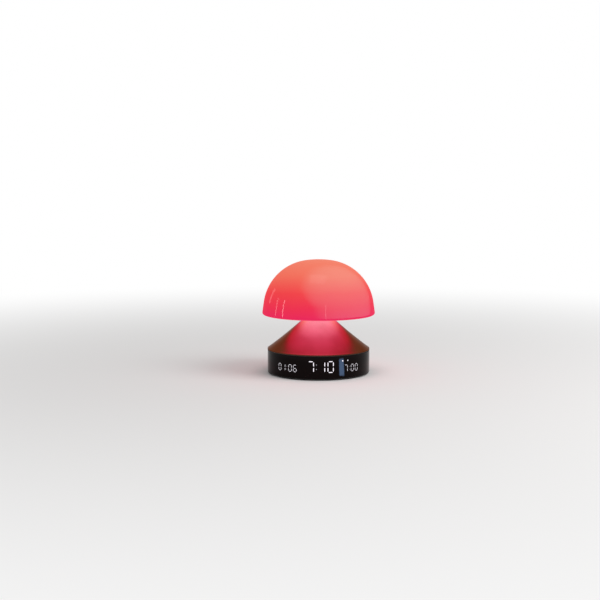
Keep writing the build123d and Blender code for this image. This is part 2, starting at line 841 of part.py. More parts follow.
# Bottom pan: rim under the band, groove for the foot, grille, posts and speaker seat.
sink = sink_height(base_screw_diameter, base_screw_head)
groove_top = foot_gap + foot_groove
with BuildPart() as base_pan:
    ring(0, base_radius - pan_flange_inset, foot_gap, foot_gap + pan_flange)
    ring(0, chassis_outer, foot_gap, pan_top)
    ring(foot_inner - fit_gap, foot_outer + fit_gap, foot_gap, groove_top, Mode.SUBTRACT)
    cradle_inner = speaker_diameter / 2 + fit_gap
    with Locations((0, speaker_y, pan_top)):
        Cylinder(
            cradle_inner + cradle_rim_wall,
            cradle_rim_height,
            align=(Align.CENTER, Align.CENTER, Align.MIN),
        )
        Cylinder(
            cradle_inner,
            cradle_rim_height,
            align=(Align.CENTER, Align.CENTER, Align.MIN),
            mode=Mode.SUBTRACT,
        )
    with Locations(*[(x, y, pan_top) for x, y in board_corners]):
        Cylinder(post_diameter / 2, board_level - pan_top, align=(Align.CENTER, Align.CENTER, Align.MIN))
        Cylinder(
            small_screw_diameter / 2 + slide_gap,
            board_level - pan_top,
            align=(Align.CENTER, Align.CENTER, Align.MIN),
            mode=Mode.SUBTRACT,
        )
    power_post_height = power_board_top - board_thickness - pan_top
    with Locations(*[(x, y, pan_top) for x, y in power_corners]):
        Cylinder(post_diameter / 2, power_post_height, align=(Align.CENTER, Align.CENTER, Align.MIN))
    with Locations(*[(x, y, foot_gap + pan_flange) for x, y in power_corners]):
        Cylinder(
            small_screw_diameter / 2 + slide_gap,
            power_board_top - foot_gap,
            align=(Align.CENTER, Align.CENTER, Align.MIN),
            mode=Mode.SUBTRACT,
        )
    with Locations(*[(place.X, place.Y, groove_top) for place in boss_places]):
        with Locations(upside_down):
            CounterSinkHole(
                base_screw_diameter / 2 + fit_gap,
                base_screw_head / 2 + fit_gap,
                depth=pan_top - groove_top,
                counter_sink_angle=sink_angle,
            )
    with Locations((0, speaker_y, pan_top)):
        for count, radius in zip(grille_hole_count, grille_circle):
            if radius:
                with PolarLocations(radius, count):
                    Hole(grille_hole / 2, depth=pan_thickness)
            else:
                Hole(grille_hole / 2, depth=pan_thickness)
save(base_pan, "base_pan")

# Soft ring in the pan's groove; it covers the screws.
with BuildPart() as foot_ring:
    ring(foot_inner, foot_outer, 0, groove_top)
save(foot_ring, "foot_ring")

# Screws from the pan into the chassis.
with BuildPart() as base_screws:
    with Locations(*[(place.X, place.Y, groove_top + slide_gap) for place in boss_places]):
        with Locations(upside_down):
            screw(base_screw_diameter, base_screw_length, base_screw_head)
save(base_screws, "base_screws")

# ---------------------------------------------------------------------------
# Display
# ---------------------------------------------------------------------------

# Curved block with a window for every mark.
with BuildPart() as display_reflector:
    sector(reflector_inner, reflector_outer, display_bottom, display_top, display_half_angle)
    display_marks(reflector_inner - reflector_depth / 2, 2 * reflector_depth, 0, Mode.SUBTRACT)
save(display_reflector, "display_reflector")

# Frosted light guides that fill the outer end of the windows.
segment_front = reflector_outer - 2 * fit_gap
with BuildPart() as display_segments:
    display_marks(segment_front - segment_depth, segment_depth, slide_gap)
save(display_segments, "display_segments")

# Curved board behind the reflector.
with BuildPart() as display_board:
    sector(display_board_inner, display_board_outer, display_bottom, display_top, display_half_angle)
save(display_board, "display_board")

# One die behind each mark.
with BuildPart() as display_dies:
    digits, colons = digit_cells()
    for angle, width, height, stroke in digits:
        with Locations(outward(angle, display_board_outer, baseline + height / 2)):
            with Locations(*[place for place, span, turn in segment_places(width, height, stroke)]):
                Box(die_size, die_size, die_size, align=(Align.CENTER, Align.CENTER, Align.MIN))
    for angle, width, height, stroke in colons:
        with Locations(outward(angle, display_board_outer, baseline + height / 2)):
            with Locations((0, -height * colon_share), (0, height * colon_share)):
                Box(die_size, die_size, die_size, align=(Align.CENTER, Align.CENTER, Align.MIN))
    with Locations(*[outward(angle, display_board_outer, indicator_level) for angle in indicator_angles]):
        Box(die_size, die_size, die_size, align=(Align.CENTER, Align.CENTER, Align.MIN))
save(display_dies, "display_dies")

# ---------------------------------------------------------------------------
# Keys and power socket
# ---------------------------------------------------------------------------

# Five keys: cap, wider flange behind the wall and a boss that meets the switch.
for name, angle in zip(("key_alarm", "key_minus", "key_set", "key_plus", "key_light"), key_angles):
    with BuildPart() as key:
        with BuildSketch(outward(angle, key_flange_outer, key_level)):
            Circle(key_diameter / 2)
        extrude(amount=base_radius + key_proud - key_flange_outer)
        outward_axis = Axis((0, 0, 0), outward(angle).z_dir)
        fillet(key.edges().filter_by(GeomType.CIRCLE).sort_by(outward_axis)[-1], radius=key_edge)
        with BuildSketch(outward(angle, key_flange_outer, key_level)):
            Circle(key_diameter / 2 + key_flange)
        extrude(amount=-key_flange_thickness)
        with BuildSketch(outward(angle, key_boss_end, key_level)):
            Circle(key_boss_diameter / 2)
        extrude(amount=key_boss_length)
    save(key, name)

# Curved board behind the keys, on the chassis bracket.
with BuildPart() as key_board:
    sector(
        key_board_inner,
        key_board_outer,
        key_level - key_board_height / 2,
        key_level + key_board_height / 2,
        key_board_half_angle,
        180,
    )
save(key_board, "key_board")

# A push switch behind each key.
with BuildPart() as key_switches:
    for angle in key_angles:
        with Locations(outward(angle, key_board_outer, key_level)):
            Box(switch_side, switch_side, switch_height, align=(Align.CENTER, Align.CENTER, Align.MIN))
        with Locations(outward(angle, key_board_outer + switch_height, key_level)):
            Cylinder(
                plunger_diameter / 2, plunger_height, align=(Align.CENTER, Align.CENTER, Align.MIN)
            )
save(key_switches, "key_switches")

# Power socket: rounded shell with a tongue.
with BuildPart() as power_socket:
    with BuildSketch(outward(180, socket_face, socket_level)):
        RectangleRounded(socket_width, socket_height, socket_round)
    extrude(amount=-socket_length)
    with BuildSketch(outward(180, socket_face, socket_level)):
        RectangleRounded(
            socket_width - 2 * socket_wall, socket_height - 2 * socket_wall, socket_round - socket_wall
        )
    extrude(amount=-(socket_length - 2 * socket_wall), mode=Mode.SUBTRACT)
    with BuildSketch(outward(180, socket_face - socket_length, socket_level)):
        Rectangle(tongue_width, tongue_thickness)
    extrude(amount=tongue_length)
save(power_socket, "power_socket")

# Board under the socket.
with BuildPart() as power_board:
    with Locations((0, power_board_outer, power_board_top)):
        Box(
            power_board_width,
            power_board_length,
            board_thickness,
            align=(Align.CENTER, Align.MAX, Align.MAX),
        )
    with Locations(*[(x, y, power_board_top) for x, y in power_corners]):
        Hole(small_screw_diameter / 2 + fit_gap, depth=board_thickness)
save(power_board, "power_board")

# ---------------------------------------------------------------------------
# Loudspeaker
# ---------------------------------------------------------------------------

speaker_radius = speaker_diameter / 2
speaker_bottom = pan_top + speaker_gasket
basket_bottom = speaker_bottom + speaker_flange
basket_top = basket_bottom + basket_height
speaker_axis = Axis((0, speaker_y, 0), (0, 0, 1))
speaker_plane = Plane.XZ.offset(-speaker_y)
opening_radius = speaker_radius - speaker_gasket_width / 2
basket_outer = speaker_radius - basket_wall
magnet_radius = magnet_diameter / 2

# Foam ring between speaker and pan.
with BuildPart() as speaker_seal:
    with Locations((0, speaker_y, pan_top)):
        Cylinder(speaker_radius, speaker_gasket, align=(Align.CENTER, Align.CENTER, Align.MIN))
        Cylinder(
            speaker_radius - speaker_gasket_width,
            speaker_gasket,
            align=(Align.CENTER, Align.CENTER, Align.MIN),
            mode=Mode.SUBTRACT,
        )
save(speaker_seal, "speaker_seal")

# Pressed frame: flange, tapering basket with windows, top and a solder tab.
with BuildPart() as speaker_frame:
    with BuildSketch(speaker_plane):
        with BuildLine():
            Polyline(
                (opening_radius, speaker_bottom),
                (speaker_radius, speaker_bottom),
                (speaker_radius, basket_bottom),
                (basket_outer, basket_bottom),
                (magnet_radius + basket_wall, basket_top),
                (0, basket_top),
                (0, basket_top - basket_wall),
                (magnet_radius, basket_top - basket_wall),
                (opening_radius - basket_wall / 2, basket_bottom),
                (opening_radius, basket_bottom),
                close=True,
            )
        make_face()
    revolve(axis=speaker_axis)
    with Locations((0, speaker_y, basket_bottom + basket_height * 0.45)):
        with PolarLocations((magnet_radius + basket_outer) / 2, 4, start_angle=45):
            Box(magnet_radius, magnet_radius, basket_height * 0.6, mode=Mode.SUBTRACT)
    block(
        (basket_outer - speaker_tab[0] / 2, speaker_y, basket_bottom + basket_height * 0.3),
        speaker_tab,
    )
save(speaker_frame, "speaker_frame")

# Paper cone with its edge.
with BuildPart() as speaker_diaphragm:
    edge_radius = opening_radius - fit_gap
    edge_inner = edge_radius - diaphragm_edge
    dust_radius = magnet_radius / 2
    foot_level = speaker_bottom + fit_gap
    with BuildSketch(speaker_plane):
        with BuildLine():
            Polyline(
                (edge_radius, foot_level),
                (edge_radius, foot_level + diaphragm_thickness),
                (edge_inner, foot_level + diaphragm_thickness),
                (dust_radius, foot_level + diaphragm_rise + diaphragm_thickness),
                (0, foot_level + diaphragm_rise + diaphragm_thickness),
                (0, foot_level + diaphragm_rise),
                (dust_radius - diaphragm_thickness / 2, foot_level + diaphragm_rise),
                (edge_inner - diaphragm_thickness / 2, foot_level),
                close=True,
            )
        make_face()
    revolve(axis=speaker_axis)
save(speaker_diaphragm, "speaker_diaphragm")

# Magnet on the basket.
with BuildPart() as speaker_magnet:
    with Locations((0, speaker_y, basket_top)):
        Cylinder(magnet_radius, magnet_height, align=(Align.CENTER, Align.CENTER, Align.MIN))
save(speaker_magnet, "speaker_magnet")

# ---------------------------------------------------------------------------
# Battery
# ---------------------------------------------------------------------------

cell_radius = cell_diameter / 2
tray_half_width = cell_radius + cell_gap
contact_face = cell_length / 2 + slide_gap
tray_half_length = contact_face + contact_thickness + fit_gap

# Open tray on the pan.
with BuildPart() as battery_tray:
    block(
        (0, cell_y, pan_top),
        (2 * (tray_half_length + tray_end_wall), 2 * (tray_half_width + tray_wall), tray_height),
    )
    with Locations((0, cell_y, pan_top + tray_floor)):
        Box(
            2 * tray_half_length,
            2 * tray_half_width,
            tray_height,
            align=(Align.CENTER, Align.CENTER, Align.MIN),
            mode=Mode.SUBTRACT,
        )
save(battery_tray, "battery_tray")

# Round cell, lying across the base.
with BuildPart() as battery_cell:
    with Locations(Location((0, cell_y, cell_level), (0, 90, 0))):
        Cylinder(cell_radius, cell_length)
    fillet(battery_cell.edges().filter_by(GeomType.CIRCLE), radius=1.0)
save(battery_cell, "battery_cell")

# Contact plates at both ends of the cell.
with BuildPart() as battery_contacts:
    for side in (-1, 1):
        with Locations((side * (contact_face + contact_thickness / 2), cell_y, cell_level)):
            Box(contact_thickness, contact_width, contact_height)
save(battery_contacts, "battery_contacts")

# Two spring straps that hook on the tray's walls.
with BuildPart() as battery_straps:
    for side in (-1, 1):
        with BuildSketch(Plane.YZ.offset(side * strap_x - strap_width / 2)):
            with Locations((cell_y, cell_level)):
                Circle(cell_radius + fit_gap + strap_thickness)
            with Locations((cell_y, cell_level)):
                Rectangle(
                    2 * (cell_radius + fit_gap + strap_thickness),
                    cell_level - pan_top - tray_height,
                    align=(Align.CENTER, Align.MAX),
                )
            with Locations((cell_y, pan_top + tray_height)):
                Rectangle(4 * cell_radius, 4 * cell_radius, align=(Align.CENTER, Align.MAX), mode=Mode.SUBTRACT)
            with Locations((cell_y, cell_level)):
                Circle(cell_radius + fit_gap, mode=Mode.SUBTRACT)
                Rectangle(
                    2 * (cell_radius + fit_gap),
                    2 * cell_radius,
                    align=(Align.CENTER, Align.MAX),
                    mode=Mode.SUBTRACT,
                )
        extrude(amount=strap_width)
save(battery_straps, "battery_straps")

# ---------------------------------------------------------------------------
# Main board, connectors and wires
# ---------------------------------------------------------------------------

board_edge_x = board_width / 2 - connector_side / 2
board_rear_y = board_y + board_depth / 2 - connector_side / 2
light_lead_y = (stem_radius + tower_bore_radius) / 2
press_lead_x = -(connector_side + 2 * fit_gap)
lead_z = board_top + lead_level
connector_spots = {
    "light": (0, light_lead_y),
    "press": (press_lead_x, light_lead_y),
    "cell_left": (-board_edge_x, board_y - cell_plug_offset),
    "cell_right": (board_edge_x, board_y - cell_plug_offset),
    "speaker": (board_edge_x, board_y),
    "display": (-board_edge_x, board_y),
    "power": (0, board_rear_y),
    "keys": (-3.5 * connector_side, board_rear_y),
}

# Main board with its screw holes.
with BuildPart() as main_board:
    block((0, board_y, board_level), (board_width, board_depth, board_thickness))
    with Locations(*[(x, y, board_top) for x, y in board_corners]):
        Hole(small_screw_diameter / 2 + fit_gap, depth=board_thickness)
save(main_board, "main_board")

# Chips, coils and capacitors on the main board.
board_parts = (
    (16, 15, 10, 10, 1.2),
    (-15, 14, 8, 8, 1.0),
    (-16, 3, 5, 4, 1.1),
    (16, 2, 6, 6, 3.0),
    (22, 24, 5, 7, 2.0),
    (-8, 21, 3, 8, 2.6),
    (8, 22, 4, 4, 1.4),
    (-24, 22, 4, 6, 1.8),
    (-22, -3, 7, 3, 1.2),
    (22, -3, 7, 3, 1.2),
)
with BuildPart() as main_board_parts:
    for x, y, width, depth, height in board_parts:
        block((x, y, board_top), (width, depth, height))
save(main_board_parts, "main_board_parts")

# Plugs on the main board and on the power board.
power_plug_y = power_post_y + small_screw_head / 2
with BuildPart() as board_connectors:
    for x, y in connector_spots.values():
        block((x, y, board_top), (connector_side, connector_side, connector_height))
    block((0, power_plug_y, power_board_top), (connector_side, connector_side, connector_height))
save(board_connectors, "board_connectors")

# Screws of the main board and of the power board.
with BuildPart() as board_screws:
    with Locations(*[(x, y, board_top) for x, y in board_corners]):
        screw(small_screw_diameter, small_screw_length, small_screw_head, small_screw_head_height)
    with Locations(*[(x, y, power_board_top) for x, y in power_corners]):
        screw(small_screw_diameter, small_screw_length * 0.8, small_screw_head, small_screw_head_height)
save(board_screws, "board_screws")

# Lead from the main board up beside the stem and in through its window.
with BuildPart() as light_lead:
    wire(
        [
            (0, light_lead_y, board_top + connector_height),
            (0, light_lead_y, window_middle),
            (0, harness_diameter / 2 + free_gap, window_middle),
        ],
        harness_diameter * 1.5,
        harness_diameter,
    )
save(light_lead, "light_lead")

# Lead of the switch under the stem.
press_lead_z = press_board_top + wire_diameter / 2 + slide_gap
with BuildPart() as press_lead:
    wire(
        [
            (press_lead_x, light_lead_y, board_top + connector_height),
            (press_lead_x, light_lead_y, press_lead_z),
            (press_lead_x, press_board[1] / 2 - wire_diameter, press_lead_z),
        ],
        wire_diameter * 1.5,
        wire_diameter,
    )
save(press_lead, "press_lead")

# The cell's two leads.
cell_lead_x = contact_face + contact_thickness + wire_diameter / 2 + slide_gap
with BuildPart() as cell_leads:
    for side, spot in ((-1, "cell_left"), (1, "cell_right")):
        x, y = connector_spots[spot]
        wire(
            [
                (side * cell_lead_x, cell_y - contact_width / 4, cell_level + contact_height / 3),
                (side * cell_lead_x, (cell_y + y) / 2, lead_z),
                (x, y - connector_side / 2 - free_gap, lead_z),
            ],
            wire_diameter * 4,
            wire_diameter,
        )
save(cell_leads, "cell_leads")

# The loudspeaker's lead goes round the main board's edge.
tab_z = basket_bottom + basket_height * 0.3 + speaker_tab[2] + wire_diameter / 2 + slide_gap
speaker_lead_x = board_width / 2 + 2 * wire_diameter
with BuildPart() as speaker_lead:
    wire(
        [
            (basket_outer - speaker_tab[0] / 2, speaker_y, tab_z),
            (speaker_lead_x, speaker_y, tab_z),
            (speaker_lead_x, board_y, lead_z),
            (board_edge_x + connector_side / 2, board_y, lead_z),
        ],
        wire_diameter * 1.5,
        wire_diameter,
    )
save(speaker_lead, "speaker_lead")

# Lead from the power board up to the main board.
with BuildPart() as power_lead:
    wire(
        [
            (0, power_plug_y, power_board_top + connector_height),
            (0, power_plug_y, lead_z),
            (0, board_rear_y + connector_side / 2, lead_z),
        ],
        wire_diameter * 1.5,
        wire_diameter,
    )
save(power_lead, "power_lead")

# Flat cable from the display to the main board, on edge beside the battery.
with BuildPart() as display_ribbon:
    ribbon_start = outward(-display_half_angle + 3, display_board_inner - free_gap).origin
    ribbon_x = -(tray_half_length + tray_end_wall + ribbon_gap)
    with BuildSketch(Plane.XY.offset(board_top)):
        with BuildLine():
            FilletPolyline(
                (ribbon_start.X, ribbon_start.Y),
                (ribbon_x, cell_y),
                (ribbon_x, board_y - connector_side),
                (-board_edge_x - connector_side / 2 - free_gap, board_y),
                radius=ribbon_bend,
            )
        trace(line_width=ribbon_thickness)
    extrude(amount=min(ribbon_height, display_top - board_top))
save(display_ribbon, "display_ribbon")

# The keys' lead.
with BuildPart() as key_lead:
    start_plane = outward(180 + key_board_half_angle - key_bracket_inset / 2, key_board_inner - free_gap)
    x, y = connector_spots["keys"]
    wire(
        [
            (start_plane.origin.X, start_plane.origin.Y, lead_z),
            (x, y + connector_side, lead_z),
            (x, y + connector_side / 2, lead_z),
        ],
        wire_diameter * 2.5,
        wire_diameter,
    )
save(key_lead, "key_lead")
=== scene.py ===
"""Looks of the sunrise alarm clock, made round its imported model.

Metres, +Z up. The display faces -Y, and the origin is on the table under the middle
of the base. Angles round the base are measured from the front (-Y) towards +X.
"""

from math import cos, pi, radians, sin, tan

import bmesh
import bpy
from mathutils import Matrix, Quaternion, Vector


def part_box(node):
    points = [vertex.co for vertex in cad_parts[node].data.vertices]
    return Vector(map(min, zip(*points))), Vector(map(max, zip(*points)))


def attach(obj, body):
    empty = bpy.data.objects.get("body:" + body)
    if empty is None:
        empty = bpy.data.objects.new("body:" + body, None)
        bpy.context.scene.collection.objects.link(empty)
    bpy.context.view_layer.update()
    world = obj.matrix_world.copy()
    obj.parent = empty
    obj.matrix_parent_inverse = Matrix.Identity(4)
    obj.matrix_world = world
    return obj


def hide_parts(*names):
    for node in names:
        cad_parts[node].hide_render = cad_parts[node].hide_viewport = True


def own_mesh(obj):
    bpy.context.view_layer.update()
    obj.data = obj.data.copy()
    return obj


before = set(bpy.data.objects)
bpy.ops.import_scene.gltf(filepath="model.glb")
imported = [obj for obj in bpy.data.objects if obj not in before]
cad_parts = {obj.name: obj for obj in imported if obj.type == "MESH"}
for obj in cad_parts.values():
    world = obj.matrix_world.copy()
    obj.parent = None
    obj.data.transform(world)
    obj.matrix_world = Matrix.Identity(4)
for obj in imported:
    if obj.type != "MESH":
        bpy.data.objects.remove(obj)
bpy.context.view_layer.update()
scene = bpy.context.scene
mm = 0.001

# ---------------------------------------------------------------------------
# Camera: a long way in front of the clock and a little above it, so that the
# clock is small and its base is seen from slightly above.

picture_side = 600  # pixels
focal_length = 1132  # pixels
camera_place = Vector((0, -1.2, 0.21))
camera_aim = Vector((-0.0198, 0, 0.0776))


def add_object(name, data):
    """Puts an object with this data into the scene."""
    item = bpy.data.objects.new(name, data)
    scene.collection.objects.link(item)
    return item


def add_mesh(name, mesh, material):
    """Puts a mesh under construction into the scene, as an object of that material."""
    data = bpy.data.meshes.new(name)
    mesh.to_mesh(data)
    mesh.free()
    data.materials.append(material)
    return add_object(name, data)


camera = add_object("camera", bpy.data.cameras.new("camera"))
camera.data.lens = camera.data.sensor_width * focal_length / picture_side
camera.location = camera_place
camera.rotation_euler = (camera_aim - camera_place).to_track_quat("-Z", "Y").to_euler()
scene.camera = camera
scene.view_settings.view_transform = "Standard"

# ---------------------------------------------------------------------------
# Studio: a pale floor that fades into a white backdrop, soft light from all
# round and one large soft lamp high on the right. The plain light adds up to
# about 1, so that a colour renders as it is written.

ambient_light = 0.5
floor_radius = 6.0
floor_sides = 96
fade_start = 0.10
fade_end = 1.0


class Link:
    """An output in a node tree. Sums on it add Math nodes, and make() adds any other node."""

    def __init__(self, tree, socket=None):
        self.tree = tree
        self.socket = socket

    def make(self, kind, inputs=(), output=0, stops=(), **settings):
        """A node of that kind: first its settings, then the values or links of its sockets."""
        node = self.tree.nodes.new(kind)
        for name, setting in settings.items():
            setattr(node, name, setting)
        for place, colour in stops[1:-1]:
            node.color_ramp.elements.new(place).color = (*colour, 1)
        if stops:
            for end in (0, -1):
                node.color_ramp.elements[end].position = stops[end][0]
                node.color_ramp.elements[end].color = (*stops[end][1], 1)
        self.fill(node.name, inputs)
        return Link(self.tree, node.outputs[output])

    def fill(self, name, inputs):
        """Gives sockets of the node with that name their values or links."""
        for socket, value in dict(inputs).items():
            self.join(self.tree.nodes[name].inputs[socket], value)

    def join(self, socket, value):
        """Sets a socket to a value, or links it to one output or several."""
        if isinstance(value, (Link, list)):
            for source in value if isinstance(value, list) else [value]:
                self.tree.links.new(source.socket, socket)
        elif socket.type == "RGBA":
            socket.default_value = (*value, 1)
        else:
            socket.default_value = value

    def maths(self, operation, *values):
        return self.make("ShaderNodeMath", enumerate(values), operation=operation)

    def __add__(self, other):
        return self.maths("ADD", self, other)

    __radd__ = __add__

    def __sub__(self, other):
        return self.maths("SUBTRACT", self, other)

    def __rsub__(self, other):
        return self.maths("SUBTRACT", other, self)

    def __mul__(self, other):
        return self.maths("MULTIPLY", self, other)

    __rmul__ = __mul__

    def __truediv__(self, other):
        return self.maths("DIVIDE", self, other)

    def __abs__(self):
        return self.maths("ABSOLUTE", self)

    def over(self, low, high):
        """Rises smoothly from 0 at low to 1 at high."""
        return self.make("ShaderNodeMapRange", {0: self, 1: low, 2: high}, interpolation_type="SMOOTHSTEP")

    def blend(self, first, second):
        """The first colour where this is 0, the second where it is 1."""
        return self.make("ShaderNodeMix", {0: self, 6: first, 7: second}, 2, data_type="RGBA")

    def axis(self, name):
        return self.make("ShaderNodeSeparateXYZ", {0: self}, name)

    def scaled(self, x, y, z):
        """The point with its axes scaled. A pattern is finer along an axis that grows."""
        return self.make("ShaderNodeVectorMath", {0: self, 1: (x, y, z)}, operation="MULTIPLY")

    def moved(self, x, y, z):
        """The point as seen from x, y, z."""
        return self.make("ShaderNodeVectorMath", {0: self, 1: (x, y, z)}, operation="SUBTRACT")

    def from_axis(self):
        """Distance of a point from the Z axis."""
        return self.make("ShaderNodeVectorMath", {0: self.scaled(1, 1, 0)}, "Value", operation="LENGTH")

    def ripple(self, half_pitch):
        """Rises from 0 to 1 over half a pitch and falls back over the next."""
        return self.maths("PINGPONG", self, half_pitch) / half_pitch

    def noise(self, size, detail=2.0):
        """Soft noise about 0.5 whose blotches are about that size, in metres."""
        return self.make("ShaderNodeTexNoise", {"Vector": self, "Scale": 1 / size, "Detail": detail})

    def bump(self, depth):
        """Turns a height from 0 to 1 into a relief of that depth, in metres."""
        return self.make("ShaderNodeBump", {"Strength": 1.0, "Distance": depth, "Height": self}, "Normal")


def is_seen(start):
    """1 for rays that show the stage itself, directly or in metal and glass."""
    rays = ("Is Camera Ray", "Is Glossy Ray", "Is Transmission Ray")
    camera_ray, glossy_ray, clear_ray = (start.make("ShaderNodeLightPath", output=ray) for ray in rays)
    return start.maths("MINIMUM", camera_ray + glossy_ray + clear_ray, 1.0)


world = bpy.data.worlds.new("studio")
world.use_nodes = True
scene.world = world
start = Link(world.node_tree)
backdrop = is_seen(start) * (1 - ambient_light) + ambient_light
start.fill("Background", {"Color": (1.0, 1.0, 1.0), "Strength": backdrop})

floor_finish = bpy.data.materials.new("floor")
floor_finish.use_nodes = True
start = Link(floor_finish.node_tree)
point = start.make("ShaderNodeTexCoord", output="Object")
grain = (point.noise(3 * mm) - 0.5) * 0.02
paint = (0.5 + grain).blend((0.80, 0.79, 0.785), (0.86, 0.85, 0.845))
matt = start.make("ShaderNodeBsdfDiffuse", {"Color": paint})
bright = start.make("ShaderNodeEmission", {"Color": (1.0, 1.0, 1.0)})
fade = is_seen(start) * point.from_axis().over(fade_start, fade_end)
surface = start.make("ShaderNodeMixShader", {0: fade, 1: matt, 2: bright})
start.fill("Material Output", {"Surface": surface})
floor_mesh = bmesh.new()
bmesh.ops.create_circle(floor_mesh, cap_ends=True, segments=floor_sides, radius=floor_radius)
floor = add_mesh("floor", floor_mesh, floor_finish)


def lamp(name, turn, rise, distance, size, radiance, tint=(1.0, 1.0, 1.0), feather=0.0, roll=0.0,
         aim=(0, 0, 0.07)):
    """A flat lamp aimed at a point of the clock: turn from the front, rise above the table, in degrees.

    Its light fades out towards its sides over the share feather of its half width.
    """
    light = bpy.data.lights.new(name, "AREA")
    light.shape = "RECTANGLE"
    light.size, light.size_y = size
    light.energy = radiance * pi * size[0] * size[1]
    light.color = tint
    if feather:
        light.use_nodes = True
        start = Link(light.node_tree)
        place = start.make("ShaderNodeNewGeometry", output="Parametric")
        sides = [1 - abs(place.axis(axis) * 2 - 1).over(1 - feather, 1) for axis in "XY"]
        start.fill("Emission", {"Strength": sides[0] * sides[1]})
    piece = add_object(name, light)
    away = Vector((sin(radians(turn)), -cos(radians(turn)), tan(radians(rise)))).normalized()
    piece.location = Vector(aim) + away * distance
    rolled = Quaternion((0, 0, 1), radians(roll))
    piece.rotation_euler = (away.to_track_quat("Z", "Y") @ rolled).to_euler()
    piece.visible_camera = False
    return piece


lamp("main_softbox", 66, 44, 1.2, (1.0, 1.0), 4.0, feather=0.6).visible_glossy = False
lamp("top_softbox", -10, 80, 1.1, (0.7, 0.7), 2.2, feather=0.6)


def gloss_lamps(piece, *lamps):
    """Lets lamps show in the gloss of one piece, and light nothing else."""
    lit = bpy.data.collections.new(piece.name + "_gloss")
    lit.objects.link(piece)
    for light in lamps:
        light.visible_diffuse = False
        light.light_linking.receiver_collection = lit


# ---------------------------------------------------------------------------
# Foot: one soft rubber ring pushed into the pan's groove, with round edges and
# fine grip grooves underneath.

foot_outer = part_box("foot_ring")[1].x
foot_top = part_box("foot_ring")[1].z
foot_inner = foot_outer - 7.4 * mm
foot_steps = 256
foot_round = 0.5 * mm
grip_groove_count = 6
grip_groove_width = 0.5 * mm
grip_groove_depth = 0.3 * mm
corner_steps = 6


def rounded(corners, steps=corner_steps):
    """An outline from its corners, (across, up, radius), with each corner rounded."""
    outline = []
    for i, (across, up, size) in enumerate(corners):
        here = Vector((across, up))
        if not size:
            outline.append(here)
            continue
        before = (Vector(corners[i - 1][:2]) - here).normalized()
        after = (Vector(corners[(i + 1) % len(corners)][:2]) - here).normalized()
        half = before.angle(after) / 2
        centre = here + (before + after).normalized() * size / sin(half)
        first = here + before * size / tan(half) - centre
        last = here + after * size / tan(half) - centre
        outline += [centre + first.slerp(last, k / steps).normalized() * size for k in range(steps + 1)]
    return outline


def smooth(piece, crease):
    """Shades a piece smoothly, apart from edges sharper than crease, in degrees."""
    piece.data.shade_smooth()
    piece.data.set_sharp_from_angle(angle=radians(crease))


def piece_from(name, mesh, material, body, crease=35):
    """Makes a mesh into a piece that rides on a body: smooth, with its sharp edges kept."""
    bmesh.ops.remove_doubles(mesh, verts=mesh.verts, dist=1e-7)
    bmesh.ops.recalc_face_normals(mesh, faces=mesh.faces)
    piece = add_mesh(name, mesh, material)
    smooth(piece, crease)
    if body:
        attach(piece, body)
    return piece


def turn_outline(mesh, outline, steps, closed=True):
    """Turns (radius, height) points round the Z axis. An open outline ends on the axis."""
    rings = []
    for radius, height in outline:
        count = steps if radius > 1e-6 else 1
        turns = [2 * pi * i / count for i in range(count)]
        rings.append([mesh.verts.new((radius * sin(t), -radius * cos(t), height)) for t in turns])
    for low, high in zip(rings, rings[1:] + rings[:1] if closed else rings[1:]):
        for i in range(steps):
            corners = [ring[(i + k) % len(ring)] for ring, k in ((low, 0), (low, 1), (high, 1), (high, 0))]
            mesh.faces.new(list(dict.fromkeys(corners)))


def finish(name, looks):
    """A material whose shader takes what looks() says of a point of the surface."""
    material = bpy.data.materials.new(name)
    material.use_nodes = True
    point = Link(material.node_tree).make("ShaderNodeTexCoord", output="Object")
    point.fill("Principled BSDF", looks(point))
    return material


def rubber_looks(point):
    """Soft dark rubber: matt, slightly dusty, with a fine moulded grain."""
    dust = point.noise(4 * mm, 4.0)
    return {
        "Base Color": dust.blend((0.016, 0.016, 0.017), (0.045, 0.044, 0.043)),
        "Roughness": 0.72 + 0.2 * dust,
        "Specular IOR Level": 0.3,
        "Normal": point.noise(0.25 * mm).bump(0.02 * mm),
    }


rubber = finish("soft_rubber", rubber_looks)

groove_pitch = (foot_outer - foot_inner - 2 * foot_round) / grip_groove_count
foot_corners = [(foot_inner, foot_top, 0), (foot_outer, foot_top, 0), (foot_outer, 0, foot_round)]
for i in range(grip_groove_count):
    middle = foot_outer - foot_round - (i + 0.5) * groove_pitch
    for side, depth in ((1, 0), (1, grip_groove_depth), (-1, grip_groove_depth), (-1, 0)):
        foot_corners.append((middle + side * grip_groove_width / 2, depth, 0))
foot_corners.append((foot_inner, 0, foot_round))
foot_mesh = bmesh.new()
turn_outline(foot_mesh, rounded(foot_corners), foot_steps)
grip_foot = piece_from("grip_foot", foot_mesh, rubber, "housing")
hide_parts("foot_ring")

# ---------------------------------------------------------------------------
# Pan, chassis, tray, tower and reflector: black moulded plastic with the fine
# grain of a spark-eroded mould.


def dress(material, *nodes):
    """Gives CAD nodes their finish."""
    for node in nodes:
        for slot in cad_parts[node].material_slots:
            slot.material = material


def moulded(name, colour, roughness, grain=0.3 * mm, grain_depth=0.015 * mm):
    """Moulded plastic: colour and sheen vary a little where the melt flowed, over a fine grain."""
    pale = tuple(1.25 * part + 0.004 for part in colour)

    def looks(point):
        flow = point.noise(9 * mm, 3.0)
        return {
            "Base Color": flow.over(0.3, 0.7).blend(colour, pale),
            "Roughness": roughness + 0.12 * (flow - 0.5),
            "Specular IOR Level": 0.4,
            "Normal": point.noise(grain).bump(grain_depth),
        }

    return finish(name, looks)


black_plastic = moulded("black_plastic", (0.014, 0.013, 0.013), 0.5)
dress(black_plastic, "base_pan", "chassis", "battery_tray", "tower", "display_reflector")

